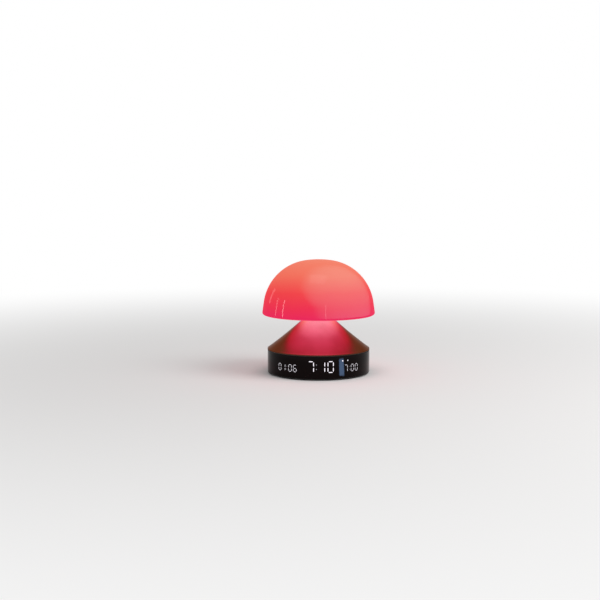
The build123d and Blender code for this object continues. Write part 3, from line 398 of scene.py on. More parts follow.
# ---------------------------------------------------------------------------
# Screws, clip, straps, contacts and the loudspeaker's frame: bright steel. Screws
# that stand in a ring are made again with a real head and a cross recess.

shank_radius = 1.0 * mm
head_radius = 2.1 * mm
sunk_lean = radians(41)  # of a sunk head's cone, from the screw's axis
raised_height = 1.4 * mm
raised_face = 0.86  # of the head's radius
cross_reach = 0.62  # of the face's radius
cross_width = 0.22
cross_depth = 0.6  # of the head's height
shank_overlap = 0.1  # of the head's height
head_sides, shank_sides = 32, 24
tower_screw_circle = 40 * mm  # radius
scratch_pitch = 0.15 * mm
scratch_length = 14  # times the pitch


def metal(name, colour, roughness):
    """Worked metal: fine lines left by the tool, and patches that are more or less polished."""
    dull = tuple(0.82 * part for part in colour)

    def looks(point):
        scratches = point.scaled(1, 1, scratch_length).noise(scratch_pitch * scratch_length, 3.0)
        patches = point.noise(5 * mm, 3.0)
        return {
            "Base Color": patches.over(0.3, 0.7).blend(dull, colour),
            "Metallic": 1.0,
            "Roughness": roughness + 0.14 * (patches - 0.5) + 0.08 * (scratches - 0.5),
            "Normal": scratches.bump(0.004 * mm),
        }

    return finish(name, looks)


steel = metal("steel", (0.56, 0.56, 0.58), 0.26)


def screw_tree(material):
    """A ring of screws: face, shank and cross recess, from named sizes."""
    tree = bpy.data.node_groups.new("screw_ring", "GeometryNodeTree")
    sizes = ("Circle", "Level", "First angle", "Tilt", "Face radius", "Neck radius", "Head height",
             "Shank radius", "Length")
    tree.interface.new_socket("Screws", in_out="INPUT", socket_type="NodeSocketInt")
    for size in sizes:
        tree.interface.new_socket(size, in_out="INPUT", socket_type="NodeSocketFloat")
    tree.interface.new_socket("Geometry", in_out="OUTPUT", socket_type="NodeSocketGeometry")
    start = Link(tree)
    given = {size: start.make("NodeGroupInput", output=size) for size in ("Screws", *sizes)}

    def xyz(x=0.0, y=0.0, z=0.0):
        return start.make("ShaderNodeCombineXYZ", {0: x, 1: y, 2: z})

    def placed(geometry, **how):
        return start.make("GeometryNodeTransform", {"Geometry": geometry, **how})

    face, head_height = given["Face radius"], given["Head height"]
    head = start.make("GeometryNodeMeshCone", {
        "Vertices": head_sides, "Radius Top": face, "Radius Bottom": given["Neck radius"],
        "Depth": head_height})
    head = placed(head, Translation=xyz(z=0.0 - head_height))
    slot_size = xyz(face * (2 * cross_reach), face * (2 * cross_width), head_height * (2 * cross_depth))
    slot = start.make("GeometryNodeMeshCube", {"Size": slot_size})
    slots = [placed(slot, Rotation=(0.0, 0.0, turn)) for turn in (0.0, pi / 2)]
    head = start.make("GeometryNodeMeshBoolean", {"Mesh 1": head, "Mesh 2": slots}, solver="EXACT")
    shank = start.make("GeometryNodeMeshCylinder", {
        "Vertices": shank_sides, "Radius": given["Shank radius"], "Depth": given["Length"]})
    shank_middle = 0.0 - head_height * (1 - shank_overlap) - given["Length"] / 2
    shank = placed(shank, Translation=xyz(z=shank_middle))
    screw = start.make("GeometryNodeJoinGeometry", {"Geometry": [head, shank]})
    places = start.make("GeometryNodeMeshCircle", {"Vertices": given["Screws"], "Radius": given["Circle"]})
    places = placed(places, Translation=xyz(z=given["Level"]), Rotation=xyz(z=given["First angle"]))
    screws = start.make("GeometryNodeInstanceOnPoints", {
        "Points": places, "Instance": screw, "Rotation": xyz(given["Tilt"])})
    screws = start.make("GeometryNodeRealizeInstances", {"Geometry": screws})
    screws = start.make("GeometryNodeSetMaterial", {"Geometry": screws, "Material": material})
    start.join(tree.nodes.new("NodeGroupOutput").inputs["Geometry"], screws)
    return tree


steel_screws = screw_tree(steel)


def evaluated_mesh(item):
    """The plain mesh that an object's modifiers or its bevel make."""
    return bpy.data.meshes.new_from_object(item.evaluated_get(bpy.context.evaluated_depsgraph_get()))


def apply(piece, modifier):
    """Makes a piece into what its modifier makes of it, for good."""
    made = evaluated_mesh(piece)
    piece.modifiers.remove(modifier)
    piece.data = made


def screw_ring(name, node, body, count, circle, level, first_angle, sunk=True, up=False):
    """Small steel screws in place of a CAD node: on a circle of that radius, with their faces at level."""
    low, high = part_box(node)
    head_height = (head_radius - shank_radius) / tan(sunk_lean) if sunk else raised_height
    sizes = {
        "Screws": count,
        "Circle": circle,
        "Level": level,
        "First angle": radians(first_angle),
        "Tilt": pi if up else 0.0,
        "Face radius": head_radius if sunk else raised_face * head_radius,
        "Neck radius": shank_radius if sunk else head_radius,
        "Head height": head_height,
        "Shank radius": shank_radius,
        "Length": high.z - low.z - head_height,
    }
    piece = add_object(name, bpy.data.meshes.new(name))
    growth = piece.modifiers.new(name, "NODES")
    growth.node_group = steel_screws
    for item in steel_screws.interface.items_tree:
        if item.in_out == "INPUT":
            growth[item.identifier] = sizes[item.name]
    apply(piece, growth)
    smooth(piece, 30)
    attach(piece, body)
    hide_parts(node)


screw_ring("tower_screw_set", "tower_screws", "housing", 4, tower_screw_circle,
           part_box("tower_screws")[1].z, first_angle=45, sunk=False)
dress(steel, "stem_clip", "base_screws", "board_screws", "speaker_frame",
      "battery_contacts", "battery_straps")

# ---------------------------------------------------------------------------
# Loudspeaker: a pressed paper cone that faces down, with a plated magnet behind
# it. A foam ring seals it on the pan, over the grille.

magnet_low, magnet_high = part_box("speaker_magnet")
speaker_y = magnet_low.y / 2 + magnet_high.y / 2
paper_ring = 1.2 * mm


def paper_looks(point):
    """Pressed black paper: pale fibres and faint rings about the loudspeaker's axis."""
    rings = point.moved(0, speaker_y, 0).from_axis().ripple(paper_ring)
    fibres = point.noise(0.7 * mm, 5.0).over(0.55, 0.75)
    return {
        "Base Color": fibres.blend((0.02, 0.02, 0.02), (0.10, 0.09, 0.08)),
        "Roughness": 0.9,
        "Normal": (0.3 * fibres + rings).bump(0.06 * mm),
    }


def foam_looks(point):
    """Closed-cell foam: small pits all over, their middles darkened as painted shade."""
    cells = point.make("ShaderNodeTexVoronoi", {"Vector": point, "Scale": 1 / (0.5 * mm)})
    pores_and_shade = cells.over(0.0, 0.5)
    return {
        # Painted shade: darker towards the middle of each pit.
        "Base Color": pores_and_shade.blend((0.008, 0.008, 0.008), (0.03, 0.03, 0.03)),
        "Roughness": 0.95,
        "Normal": pores_and_shade.bump(0.1 * mm),
    }


dress(finish("cone_paper", paper_looks), "speaker_diaphragm")
dress(finish("foam", foam_looks), "speaker_seal")
dress(metal("plated_magnet", (0.34, 0.35, 0.37), 0.4), "speaker_magnet")

# ---------------------------------------------------------------------------
# Battery: a round cell in a blue shrink sleeve, bare metal at both ends. It lies
# in a tray on the pan, under two straps.

cell_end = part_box("battery_cell")[1].x
sleeve_fold = 2.2 * mm
sleeve_edge = (0.9 * mm, 0.6 * mm)  # from the cell's end: last full sleeve, first bare metal


def sleeve_looks(point):
    """Shrink sleeve with a few tight wrinkles near its ends; past them the can shows."""
    from_middle = abs(point.axis("X"))
    bare = from_middle.over(cell_end - sleeve_edge[0], cell_end - sleeve_edge[1])
    wrinkles = point.noise(1.6 * mm, 2.0) * from_middle.over(cell_end - 3 * sleeve_fold, cell_end)
    return {
        "Base Color": bare.blend((0.02, 0.09, 0.30), (0.55, 0.55, 0.57)),
        "Metallic": bare,
        "Roughness": 0.32 + 0.1 * point.noise(6 * mm),
        "Normal": wrinkles.bump(0.15 * mm),
    }


dress(finish("shrink_sleeve", sleeve_looks), "battery_cell")

# ---------------------------------------------------------------------------
# Circuit boards: green under solder mask, the light board white. Their chips,
# plugs and leads.


def circuit(name, mask, track, pitch=1.6 * mm):
    """A circuit board: tracks show through the mask as paler lines, with tinned dots between."""

    def looks(point):
        tracks = point.make("ShaderNodeTexBrick", {
            "Vector": point, "Scale": 1.0, "Mortar Size": 0.12 * pitch, "Mortar Smooth": 0.2,
            "Brick Width": 3.7 * pitch, "Row Height": pitch}, "Fac", offset=0.37)
        dots = point.make("ShaderNodeTexVoronoi", {"Vector": point, "Scale": 1 / (3 * pitch)})
        tinned = 1 - dots.over(0.09, 0.13)
        return {
            "Base Color": tinned.blend(tracks.blend(mask, track), (0.62, 0.61, 0.57)),
            "Metallic": tinned,
            "Roughness": 0.3 + 0.15 * point.noise(4 * mm),
            "Normal": (tracks + tinned).bump(0.03 * mm),
        }

    return finish(name, looks)


def chip_looks(point):
    """Black epoxy with a fine laser-etched grain."""
    grain = point.noise(0.2 * mm)
    return {
        "Base Color": grain.blend((0.012, 0.012, 0.013), (0.035, 0.035, 0.038)),
        "Roughness": 0.45 + 0.2 * grain,
        "Normal": grain.bump(0.01 * mm),
    }


def light_chip_looks(point):
    """Light chips: a white frame round yellowish resin that glows."""
    resin = point.noise(1.5 * mm)
    return {
        "Base Color": resin.blend((0.85, 0.80, 0.62), (0.9, 0.88, 0.8)),
        "Roughness": 0.25,
        "Emission Color": resin.blend((1.0, 0.20, 0.16), (1.0, 0.30, 0.28)),
        "Emission Strength": 2.0,
    }


dress(circuit("green_circuit", (0.008, 0.07, 0.03), (0.02, 0.14, 0.05)),
      "main_board", "power_board", "display_board", "key_board", "press_switch_board")
dress(circuit("white_circuit", (0.70, 0.70, 0.68), (0.80, 0.80, 0.78), 2.2 * mm), "light_board")
dress(finish("black_epoxy", chip_looks), "main_board_parts", "press_switch", "key_switches")
dress(finish("light_chips", light_chip_looks), "light_chips")
white_plastic = moulded("white_plastic", (0.60, 0.59, 0.56), 0.45)
dress(white_plastic, "board_connectors", "light_plug", "head_spider")


def insulated(name, colour):
    """A soft wire jacket: faint sheen, a little uneven along its length."""

    def looks(point):
        uneven = point.noise(2.5 * mm)
        return {
            "Base Color": uneven.blend(tuple(0.75 * part for part in colour), colour),
            "Roughness": 0.38 + 0.15 * uneven,
            "Normal": uneven.bump(0.03 * mm),
        }

    return finish(name, looks)


black_jacket = insulated("black_jacket", (0.02, 0.02, 0.022))
dress(black_jacket, "light_cable", "speaker_lead", "key_lead")
dress(insulated("red_jacket", (0.42, 0.02, 0.02)), "press_lead", "cell_leads", "power_lead")


def ribbon_looks(point):
    """Flat cable: amber film with copper tracks along it."""
    tracks = point.axis("Z").ripple(0.25 * mm).over(0.4, 0.6)
    return {
        "Base Color": tracks.blend((0.42, 0.14, 0.02), (0.60, 0.26, 0.08)),
        "Roughness": 0.3,
        "Normal": tracks.bump(0.02 * mm),
    }


dress(finish("amber_film", ribbon_looks), "display_ribbon")

# ---------------------------------------------------------------------------
# Band: a ring of tinted black plastic, polished, with softened edges. Holes for
# the five keys and the power socket's recess go through it at the back.

band_low, band_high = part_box("lens")
band_outer = band_high.x
band_inner = band_outer - 1.8 * mm
band_edge = 0.3 * mm
band_edge_steps = 4
band_steps = 360
key_level = 17.4 * mm
key_hole = 7.3 * mm
key_pitch = 12.5  # degrees
key_count = 5
key_angles = [180 + (i - (key_count - 1) / 2) * key_pitch for i in range(key_count)]
socket_level = 9.2 * mm
recess = (12.6 * mm, 7.4 * mm, 2.0 * mm)  # width, height, corner
hole_edge = 0.25 * mm
hole_steps = 12
cut_past_wall = 4 * mm  # how far the holes' cutters reach inside the band
cut_past_face = 2 * mm
square = ((-1, -1), (1, -1), (1, 1), (-1, 1))


def facing(angle):
    """Turns flat drawings to face out of the base: x to the right, y up, z outwards."""
    across, along = sin(radians(angle)), cos(radians(angle))
    return Matrix(((along, 0, across, 0), (across, 0, -along, 0), (0, 1, 0, 0), (0, 0, 0, 1)))


def hole_outline(width, height, corner, level):
    """A rectangle with round corners, its middle at that level."""
    return rounded([(x * width / 2, level + y * height / 2, corner) for x, y in square], hole_steps)


def add_prism(mesh, place, near, near_outline, far, far_outline):
    """A closed block between two like outlines, near and far along the place's own z."""
    ends = [
        [mesh.verts.new(place @ Vector((*point, depth))) for point in outline]
        for depth, outline in ((near, near_outline), (far, far_outline))
    ]
    count = len(near_outline)
    for i in range(count):
        k = (i + 1) % count
        mesh.faces.new((ends[0][i], ends[0][k], ends[1][k], ends[1][i]))
    mesh.faces.new(reversed(ends[0]))
    mesh.faces.new(ends[1])


def cut(piece, cutter):
    """Takes the cutter's shape out of a piece."""
    knife = piece.modifiers.new("cut", "BOOLEAN")
    knife.object = cutter
    knife.solver = "EXACT"
    apply(piece, knife)
    bpy.data.objects.remove(cutter)


def gloss_looks(point):
    """Polished tinted plastic: deep black with a trace of red, faint wipe marks in its gloss."""
    wipes = point.scaled(1, 1, 4).noise(14 * mm, 4.0)
    return {
        "Base Color": wipes.blend((0.0040, 0.0018, 0.0018), (0.0055, 0.0026, 0.0025)),
        "Roughness": 0.05 + 0.05 * wipes.over(0.45, 0.75),
        "Specular IOR Level": 0.06,
    }


black_gloss = finish("black_gloss", gloss_looks)
band_mesh = bmesh.new()
turn_outline(band_mesh, rounded([
    (band_inner, band_low.z, 0), (band_outer, band_low.z, band_edge),
    (band_outer, band_high.z, band_edge), (band_inner, band_high.z, 0)], band_edge_steps), band_steps)
band = piece_from("display_band", band_mesh, black_gloss, "housing")

openings = [(angle, key_level, (key_hole, key_hole, key_hole / 2)) for angle in key_angles]
openings.append((180, socket_level, recess))
for flare in (False, True):
    cutter_mesh = bmesh.new()
    for angle, level, (width, height, corner) in openings:
        grown = 4 * hole_edge if flare else 0
        near = band_outer - hole_edge if flare else band_inner - cut_past_wall
        far = band_outer + hole_edge if flare else band_outer + cut_past_face
        add_prism(
            cutter_mesh, facing(angle),
            near, hole_outline(width, height, corner, level),
            far, hole_outline(width + grown, height + grown, corner + grown / 2, level))
    cut(band, piece_from("cutter", cutter_mesh, black_gloss, None))
smooth(band, 25)
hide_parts("lens")
blue_card = lamp("blue_card", 52, -9.7, 0.015, (0.0092, 0.0255), 0.29, tint=(11.5, 19.0, 34.0),
                 feather=0.3, roll=4, aim=(0.0242, -0.0490, 0.0136))
blue_card.data.spread = radians(100)  # so that it shows from the front only
gloss_lamps(band, blue_card)

# ---------------------------------------------------------------------------
# Lit marks: the bars and dots of the digits where they shine through the band.
# Each is a thin patch on the band, brightest along its middle.

baseline = 8.3 * mm
time_digit = (6.5 * mm, 12.0 * mm, 0.8 * mm)  # width, height, stroke
small_digit = (4.1 * mm, 7.5 * mm, 0.58 * mm)
gap_share = 0.12  # of a digit's height, between the tips of two bars
colon_share = 0.195
colon_glow = 0.45
mark_rise = 0.03 * mm
mark_depth = 0.08 * mm
edge_glow = 0.55
time_glow, small_glow = 1.0, 0.62
bar_steps = 4
dot_sides = 16
# Angle of each lit digit and colon, and how bright its group is.
date_marks = ((-47.2, "0"), (-41.2, "1"), (-36.9, ":"), (-32.6, "0"), (-26.6, "6"))
time_marks = ((-8.25, "7"), (-2.2, ":"), (3.85, "1"), (13.35, "0"))
alarm_marks = ((31.5, "7"), (35.8, ":"), (40.1, "0"), (46.1, "0"))
indicator_marks = ((27.3, 1.2), (33.7, 0.8))
indicator_level = 20.05 * mm
indicator_radius = 0.7 * mm
# Bars of a digit: upper, middle and lower, then left and right, upper half first.
bar_places = {"a": (0, 1), "g": (0, 0), "d": (0, -1), "f": (-1, 0.5), "e": (-1, -0.5),
              "b": (1, 0.5), "c": (1, -0.5)}
lit_bars = {"0": "abcdef", "1": "bc", "6": "acdefg", "7": "abc"}

marks_mesh = bmesh.new()
glow_layer = marks_mesh.verts.layers.float.new("glow")


def mark_point(angle, across, up, glow):
    """A point on the band, across and up from the foot of a mark that stands at that angle."""
    turn = radians(angle) + across / band_outer
    radius = band_outer + mark_rise
    vert = marks_mesh.verts.new((radius * sin(turn), -radius * cos(turn), up))
    vert[glow_layer] = glow
    return vert


def add_bar(angle, centre, length, stroke, upright, glow):
    """A bar with pointed ends, brightest along its middle line."""
    half = stroke / 2
    straight = length - stroke
    columns = [(-length / 2, 0)]
    columns += [(straight * (k / bar_steps - 0.5), half) for k in range(bar_steps + 1)]
    columns.append((length / 2, 0))

    def place(along, side, share):
        across, up = (side, along) if upright else (along, side)
        return mark_point(angle, centre[0] + across, centre[1] + up, glow * share)

    lines = []
    for along, wide in columns:
        if wide:
            lines.append([place(along, side * wide, 1 if side == 0 else edge_glow) for side in (-1, 0, 1)])
        else:
            lines.append([place(along, 0, edge_glow)])
    for first, second in zip(lines, lines[1:]):
        for k in range(2):
            corners = [first[min(k, len(first) - 1)], second[min(k, len(second) - 1)],
                       second[min(k + 1, len(second) - 1)], first[min(k + 1, len(first) - 1)]]
            corners = list(dict.fromkeys(corners))
            marks_mesh.faces.new(reversed(corners) if upright else corners)


def add_dot(angle, up, radius, glow):
    """A round dot, brightest in its middle."""
    middle = mark_point(angle, 0, up, glow)
    turns = [2 * pi * i / dot_sides for i in range(dot_sides)]
    edge = [mark_point(angle, radius * cos(t), up + radius * sin(t), glow * edge_glow) for t in turns]
    for i in range(dot_sides):
        marks_mesh.faces.new((middle, edge[i], edge[(i + 1) % dot_sides]))


groups = ((date_marks, small_digit, small_glow), (time_marks, time_digit, time_glow),
          (alarm_marks, small_digit, small_glow))
for marks, (width, height, stroke), glow in groups:
    middle = baseline + height / 2
    reach_across, reach_up = (width - stroke) / 2, (height - stroke) / 2
    for angle, sign in marks:
        if sign == ":":
            for side in (-1, 1):
                add_dot(angle, middle + side * colon_share * height, stroke / 2, glow * colon_glow)
        for bar in lit_bars.get(sign, ""):
            x, y = bar_places[bar]
            upright = x != 0
            length = (reach_up if upright else 2 * reach_across) - gap_share * height
            add_bar(angle, (x * reach_across, middle + y * reach_up), length, stroke, upright, glow)
for angle, glow in indicator_marks:
    add_dot(angle, indicator_level, indicator_radius, glow)


def mark_looks(point):
    """Light from a guide: cool white, brightest along the middle of a bar."""
    glow = point.make("ShaderNodeAttribute", output="Fac", attribute_name="glow")
    return {
        "Base Color": (0.05, 0.05, 0.055),
        "Roughness": 0.3,
        "Emission Color": glow.blend((0.0, 0.0, 0.0), (0.93, 0.88, 0.95)),
        "Emission Strength": 1.5,
    }


lit_marks = add_mesh("lit_marks", marks_mesh, finish("lit_white", mark_looks))
thickness = lit_marks.modifiers.new("thickness", "SOLIDIFY")
thickness.thickness = mark_depth
thickness.offset = -1
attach(lit_marks, "housing")


def guide_looks(point):
    """Frosted light guides and the dies behind them."""
    frost = point.noise(0.4 * mm)
    return {
        "Base Color": frost.blend((0.70, 0.70, 0.72), (0.85, 0.85, 0.86)),
        "Roughness": 0.55,
        "Emission Color": frost.blend((0.80, 0.78, 0.86), (0.95, 0.93, 1.0)),
        "Emission Strength": 0.5,
        "Normal": frost.bump(0.02 * mm),
    }


dress(finish("frosted_guides", guide_looks), "display_segments", "display_dies")

# ---------------------------------------------------------------------------
# Keys: satin black caps at the back, each with a small raised sign: bell, minus,
# dot in a ring, plus and sun. The power socket is a steel shell with a black tongue.

key_face = band_outer + 0.6 * mm
sign_height = 0.12 * mm
sign_stroke = 0.5 * mm
sign_length = 2.6 * mm
set_ring = (1.3 * mm, 0.9 * mm)  # outer and inner radius
set_ring_blocks = 24
set_dot = 0.42 * mm
sun_disc = 0.65 * mm
sun_ray = (0.6 * mm, 0.3 * mm)  # length, width
sun_ray_circle = 1.25 * mm
sun_ray_count = 8
key_plastic = moulded("key_plastic", (0.030, 0.030, 0.031), 0.38, 0.2 * mm, 0.008 * mm)
sign_plastic = moulded("sign_plastic", (0.42, 0.42, 0.43), 0.5, 0.2 * mm, 0.006 * mm)
key_nodes = ("key_alarm", "key_minus", "key_set", "key_plus", "key_light")
dress(key_plastic, *key_nodes)


def box_at(across, up, width, height, turn=0.0):
    """Corners of a bar about a point of the key's face."""
    spin = Matrix.Rotation(turn, 2)
    return [Vector((across, up)) + spin @ Vector((x * width / 2, y * height / 2)) for x, y in square]


def arc_of(radius, first, last, up=0.0, steps=20):
    """Points of an arc about a point of the key's face, in degrees."""
    turns = [radians(first + (last - first) * k / steps) for k in range(steps + 1)]
    return [Vector((radius * cos(t), up + radius * sin(t))) for t in turns]


def ring_signs(outer, inner, count):
    """A ring as a row of short blocks."""
    signs = []
    for k in range(count):
        first, last = 360 * k / count, 360 * (k + 1) / count
        signs.append(arc_of(outer, first, last, steps=1) + arc_of(inner, last, first, steps=1))
    return signs


def disc(radius):
    """A round sign in the middle of the key's face."""
    return arc_of(radius, 0, 345, steps=15)


# The bell's rim, crown and clapper, in millimetres.
bell = [Vector((-1.35, -0.85)), Vector((1.35, -0.85)), Vector((0.95, -0.3)),
        *arc_of(0.95, 0, 180, 0.25), Vector((-0.95, -0.3))]
clapper = arc_of(0.38, 180, 360, -1.05, 8)
ray_turns = [radians(360 * k / sun_ray_count) for k in range(sun_ray_count)]
minus = box_at(0, 0, sign_length, sign_stroke)
signs = {
    "key_alarm": [[point * mm for point in outline] for outline in (bell, clapper)],
    "key_minus": [minus],
    "key_set": [*ring_signs(*set_ring, set_ring_blocks), disc(set_dot)],
    "key_plus": [minus, box_at(0, 0, sign_stroke, sign_length)],
    "key_light": [disc(sun_disc)] + [
        box_at(sun_ray_circle * cos(t), sun_ray_circle * sin(t), *sun_ray, t) for t in ray_turns],
}
for node, angle in zip(key_nodes, key_angles):
    sign_mesh = bmesh.new()
    for outline in signs[node]:
        raised = [point + Vector((0, key_level)) for point in outline]
        add_prism(sign_mesh, facing(angle), key_face - sign_height, raised, key_face + sign_height, raised)
    piece_from(node + "_sign", sign_mesh, sign_plastic, node)


tongue_half = (3.35 * mm, 0.35 * mm)
tongue_edge = 0.02 * mm
contact_pitch = 0.5 * mm


def socket_looks(point):
    """Drawn steel shell. Its tongue is black, with gilt contacts side by side."""
    across, height = point.axis("X"), point.axis("Z")
    tongue = (1 - abs(across).over(tongue_half[0], tongue_half[0] + tongue_edge)) * (
        1 - abs(height - socket_level).over(tongue_half[1], tongue_half[1] + tongue_edge))
    stripes = across.ripple(contact_pitch / 2).over(0.45, 0.55)
    gilt = tongue * stripes
    shell = gilt.blend(tongue.blend((0.56, 0.56, 0.58), (0.02, 0.02, 0.02)), (0.85, 0.56, 0.22))
    return {
        "Base Color": shell,
        "Metallic": 1 - tongue + gilt,
        "Roughness": 0.28 + 0.1 * point.noise(1.5 * mm),
    }


dress(finish("socket_steel", socket_looks), "power_socket")

# ---------------------------------------------------------------------------
# Cone: a spun metal shell, anodised dark bronze, with the fine rings that the
# spinning tool leaves. An upright lip below, a small hollow at the neck.

cone_low, cone_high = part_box("cone_shell")
lip_radius = cone_high.x
lip_top = 26.5 * mm
lip_round = 0.6 * mm
lip_foot_round = 0.1 * mm
flank_inset = 0.3 * mm  # of the flank's lower end, from the lip
flank_steps = 48
neck_radius = 13 * mm
neck_hollow = 2.4 * mm
neck_round = 0.3 * mm
flank_top = 60.8 * mm
flank_dish = 0.7 * mm
cone_wall = 1.5 * mm
neck_clearance = 0.2 * mm  # from the neck's inside to the flank's last inner point
bush_hole = 8.15 * mm
ring_pitch = 0.22 * mm
cone_steps = 320


def arc_through(first, middle, last, steps):
    """Points of the arc from first through middle to last."""
    a, b = middle - first, last - first
    spread = 2 * (a.x * b.y - a.y * b.x)
    centre = first + Vector((
        (b.y * a.length_squared - a.y * b.length_squared) / spread,
        (a.x * b.length_squared - b.x * a.length_squared) / spread))
    start_spoke, end_spoke = first - centre, last - centre
    radius = start_spoke.length
    return [centre + start_spoke.slerp(end_spoke, k / steps).normalized() * radius for k in range(steps + 1)]


foot = Vector((lip_radius - flank_inset, lip_top))
head = Vector((neck_radius, flank_top))
inward = Vector((foot.y - head.y, head.x - foot.x)).normalized()
middle = (foot + head) / 2 + inward * flank_dish
outer_flank = arc_through(foot, middle, head, flank_steps)
inner_flank = [point + inward * cone_wall for point in outer_flank]
neck_inner = neck_radius - cone_wall
neck_floor = cone_high.z - cone_wall
cone_corners = [
    (inner_flank[0].x, cone_low.z, 0), (lip_radius, cone_low.z, lip_foot_round),
    (lip_radius, lip_top, lip_round),
    *((*point, 0) for point in outer_flank[1:-2]),
    (*head, neck_hollow), (neck_radius, cone_high.z, neck_round), (bush_hole, cone_high.z, 0),
    (bush_hole, neck_floor, 0), (neck_inner, neck_floor, 0), (neck_inner, inner_flank[-1].y, 0),
    *((*point, 0) for point in reversed(inner_flank) if point.x > neck_inner + neck_clearance),
]


def bronze_looks(point):
    """Anodised dark bronze: satin, with the fine rings of the spinning tool."""
    along = point.make("ShaderNodeCombineXYZ", {0: point.from_axis(), 2: point.axis("Z")})
    rings = along.noise(ring_pitch, 3.0)
    bands = along.noise(9 * mm, 2.0)
    patches = point.noise(22 * mm, 3.0)
    return {
        "Base Color": patches.over(0.3, 0.7).blend((0.097, 0.027, 0.014), (0.112, 0.033, 0.018)),
        "Metallic": 1.0,
        "Roughness": 0.30 + 0.10 * (bands - 0.5) + 0.10 * (rings - 0.5) + 0.04 * patches,
        "Specular Tint": (0.62, 0.50, 0.45),
        "Normal": rings.bump(0.0025 * mm),
    }


bronze = finish("spun_bronze", bronze_looks)
cone_mesh = bmesh.new()
turn_outline(cone_mesh, rounded(cone_corners), cone_steps)
cone = piece_from("spun_cone", cone_mesh, bronze, "housing", 50)
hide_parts("cone_shell")

# ---------------------------------------------------------------------------
# Stem, bush and heat spreader: the bush in the cone's neck and its nut are turned
# brass. The stem that slides in it and the spreader on top are turned aluminium.

brass = metal("turned_brass", (0.62, 0.42, 0.16), 0.3)
aluminium = metal("turned_aluminium", (0.66, 0.66, 0.67), 0.36)
dress(brass, "neck_bush", "bush_nut")
dress(aluminium, "head_stem", "heat_spreader")

# ---------------------------------------------------------------------------
# Return spring and stem lead: both shorten as the dome goes down. The spring is
# wound from round wire with closed ends; the lead bends in through the stem's window.

wire_radius = 0.45 * mm
active_turns = 2.5
closed_turns = 0.35  # at each end
steps_per_turn = 24


def shortening_tube(node, name, route, radius, material):
    """A round tube along a route, in place of a CAD node, with a mesh of its own."""
    line = bpy.data.curves.new(name, "CURVE")
    line.dimensions = "3D"
    line.bevel_depth = radius
    line.bevel_resolution = 5
    line.use_fill_caps = True
    spline = line.splines.new("NURBS")
    spline.points.add(len(route) - 1)
    for place, point in zip(spline.points, route):
        place.co = (*point, 1)
    spline.order_u = 3
    spline.use_endpoint_u = True
    holder = add_object(name + "_line", line)
    swept = evaluated_mesh(holder)
    bpy.data.objects.remove(holder)
    mesh = bmesh.new()
    mesh.from_mesh(swept)
    piece = piece_from(name, mesh, material, "housing")
    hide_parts(node)
    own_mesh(piece)


coil_low, coil_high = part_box("return_spring")
coil_radius = coil_high.x - wire_radius
coil_rise = coil_high.z - coil_low.z - 2 * wire_radius
coil_route = []
for k in range(round((active_turns + 2 * closed_turns) * steps_per_turn) + 1):
    turns = k / steps_per_turn
    risen = min(max((turns - closed_turns) / active_turns, 0), 1)
    turn = 2 * pi * turns
    coil_route.append((coil_radius * cos(turn), coil_radius * sin(turn),
                       coil_low.z + wire_radius + risen * coil_rise))
shortening_tube("return_spring", "wound_spring", coil_route, wire_radius, steel)

lead_low, lead_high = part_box("light_lead")
lead_radius = lead_high.x
lead_y, lead_top = lead_high.y - lead_radius, lead_high.z - lead_radius
lead_bend = 3 * lead_radius
shortening_tube("light_lead", "stem_lead", [
    (0, lead_y, lead_low.z), (0, lead_y, lead_top - 3 * lead_bend), (0, lead_y, lead_top - lead_bend),
    (0, lead_y, lead_top), (0, lead_y - lead_bend, lead_top), (0, lead_low.y, lead_top),
], lead_radius, black_jacket)

# ---------------------------------------------------------------------------
# Underplate: a frosted disc that closes the dome and lets its light down on the
# cone, on three countersunk screws. Its pink light is also a lamp of its own,
# which only metal and gloss show.

plate_low, plate_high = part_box("underplate")
plate_bore = 15.5 * mm
plate_screw_circle = 47.3 * mm  # radius
stem_screw_circle = 11.8 * mm  # radius
collar_shade = (1 * mm, 7 * mm)  # from inside the bore to where the plate is fully lit
rim_shade = 12 * mm
plate_light_strength = 26.0
# Colour of the light from the middle of the plate out to its rim.
plate_light = ((0.28, (0.38, 0.38, 0.95)), (0.46, (0.29, 0.165, 0.50)), (0.64, (0.18, 0.030, 0.18)),
               (0.90, (0.145, 0.010, 0.085)), (1.0, (0.07, 0.004, 0.03)))
lamp_below_plate = 1.7 * mm


def frosted_looks(point):
    """Frosted acrylic lit from above: even in the middle, dimmer at its rim and round the neck."""
    radius = point.from_axis()
    lit = radius.over(plate_bore - collar_shade[0], plate_bore + collar_shade[1]) * (
        1 - 0.55 * radius.over(plate_high.x - rim_shade, plate_high.x))
    frost = point.noise(0.35 * mm)
    cloud = (point.noise(16 * mm) - 0.5) * 0.15
    return {
        "Base Color": frost.blend((0.55, 0.20, 0.22), (0.62, 0.25, 0.27)),
        "Roughness": 0.6,
        "Emission Color": (lit * 0.8 + cloud + 0.15).blend((0.45, 0.02, 0.06), (0.95, 0.22, 0.26)),
        "Emission Strength": 0.9,
        "Normal": frost.bump(0.02 * mm),
    }


dress(finish("frosted_acrylic", frosted_looks), "underplate")
screw_ring("plate_screw_set", "plate_screws", "head", 3, plate_screw_circle,
           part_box("plate_screws")[0].z, first_angle=90, up=True)
screw_ring("stem_screw_set", "stem_screws", "head", 3, stem_screw_circle,
           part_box("stem_screws")[1].z, first_angle=30, sunk=False)

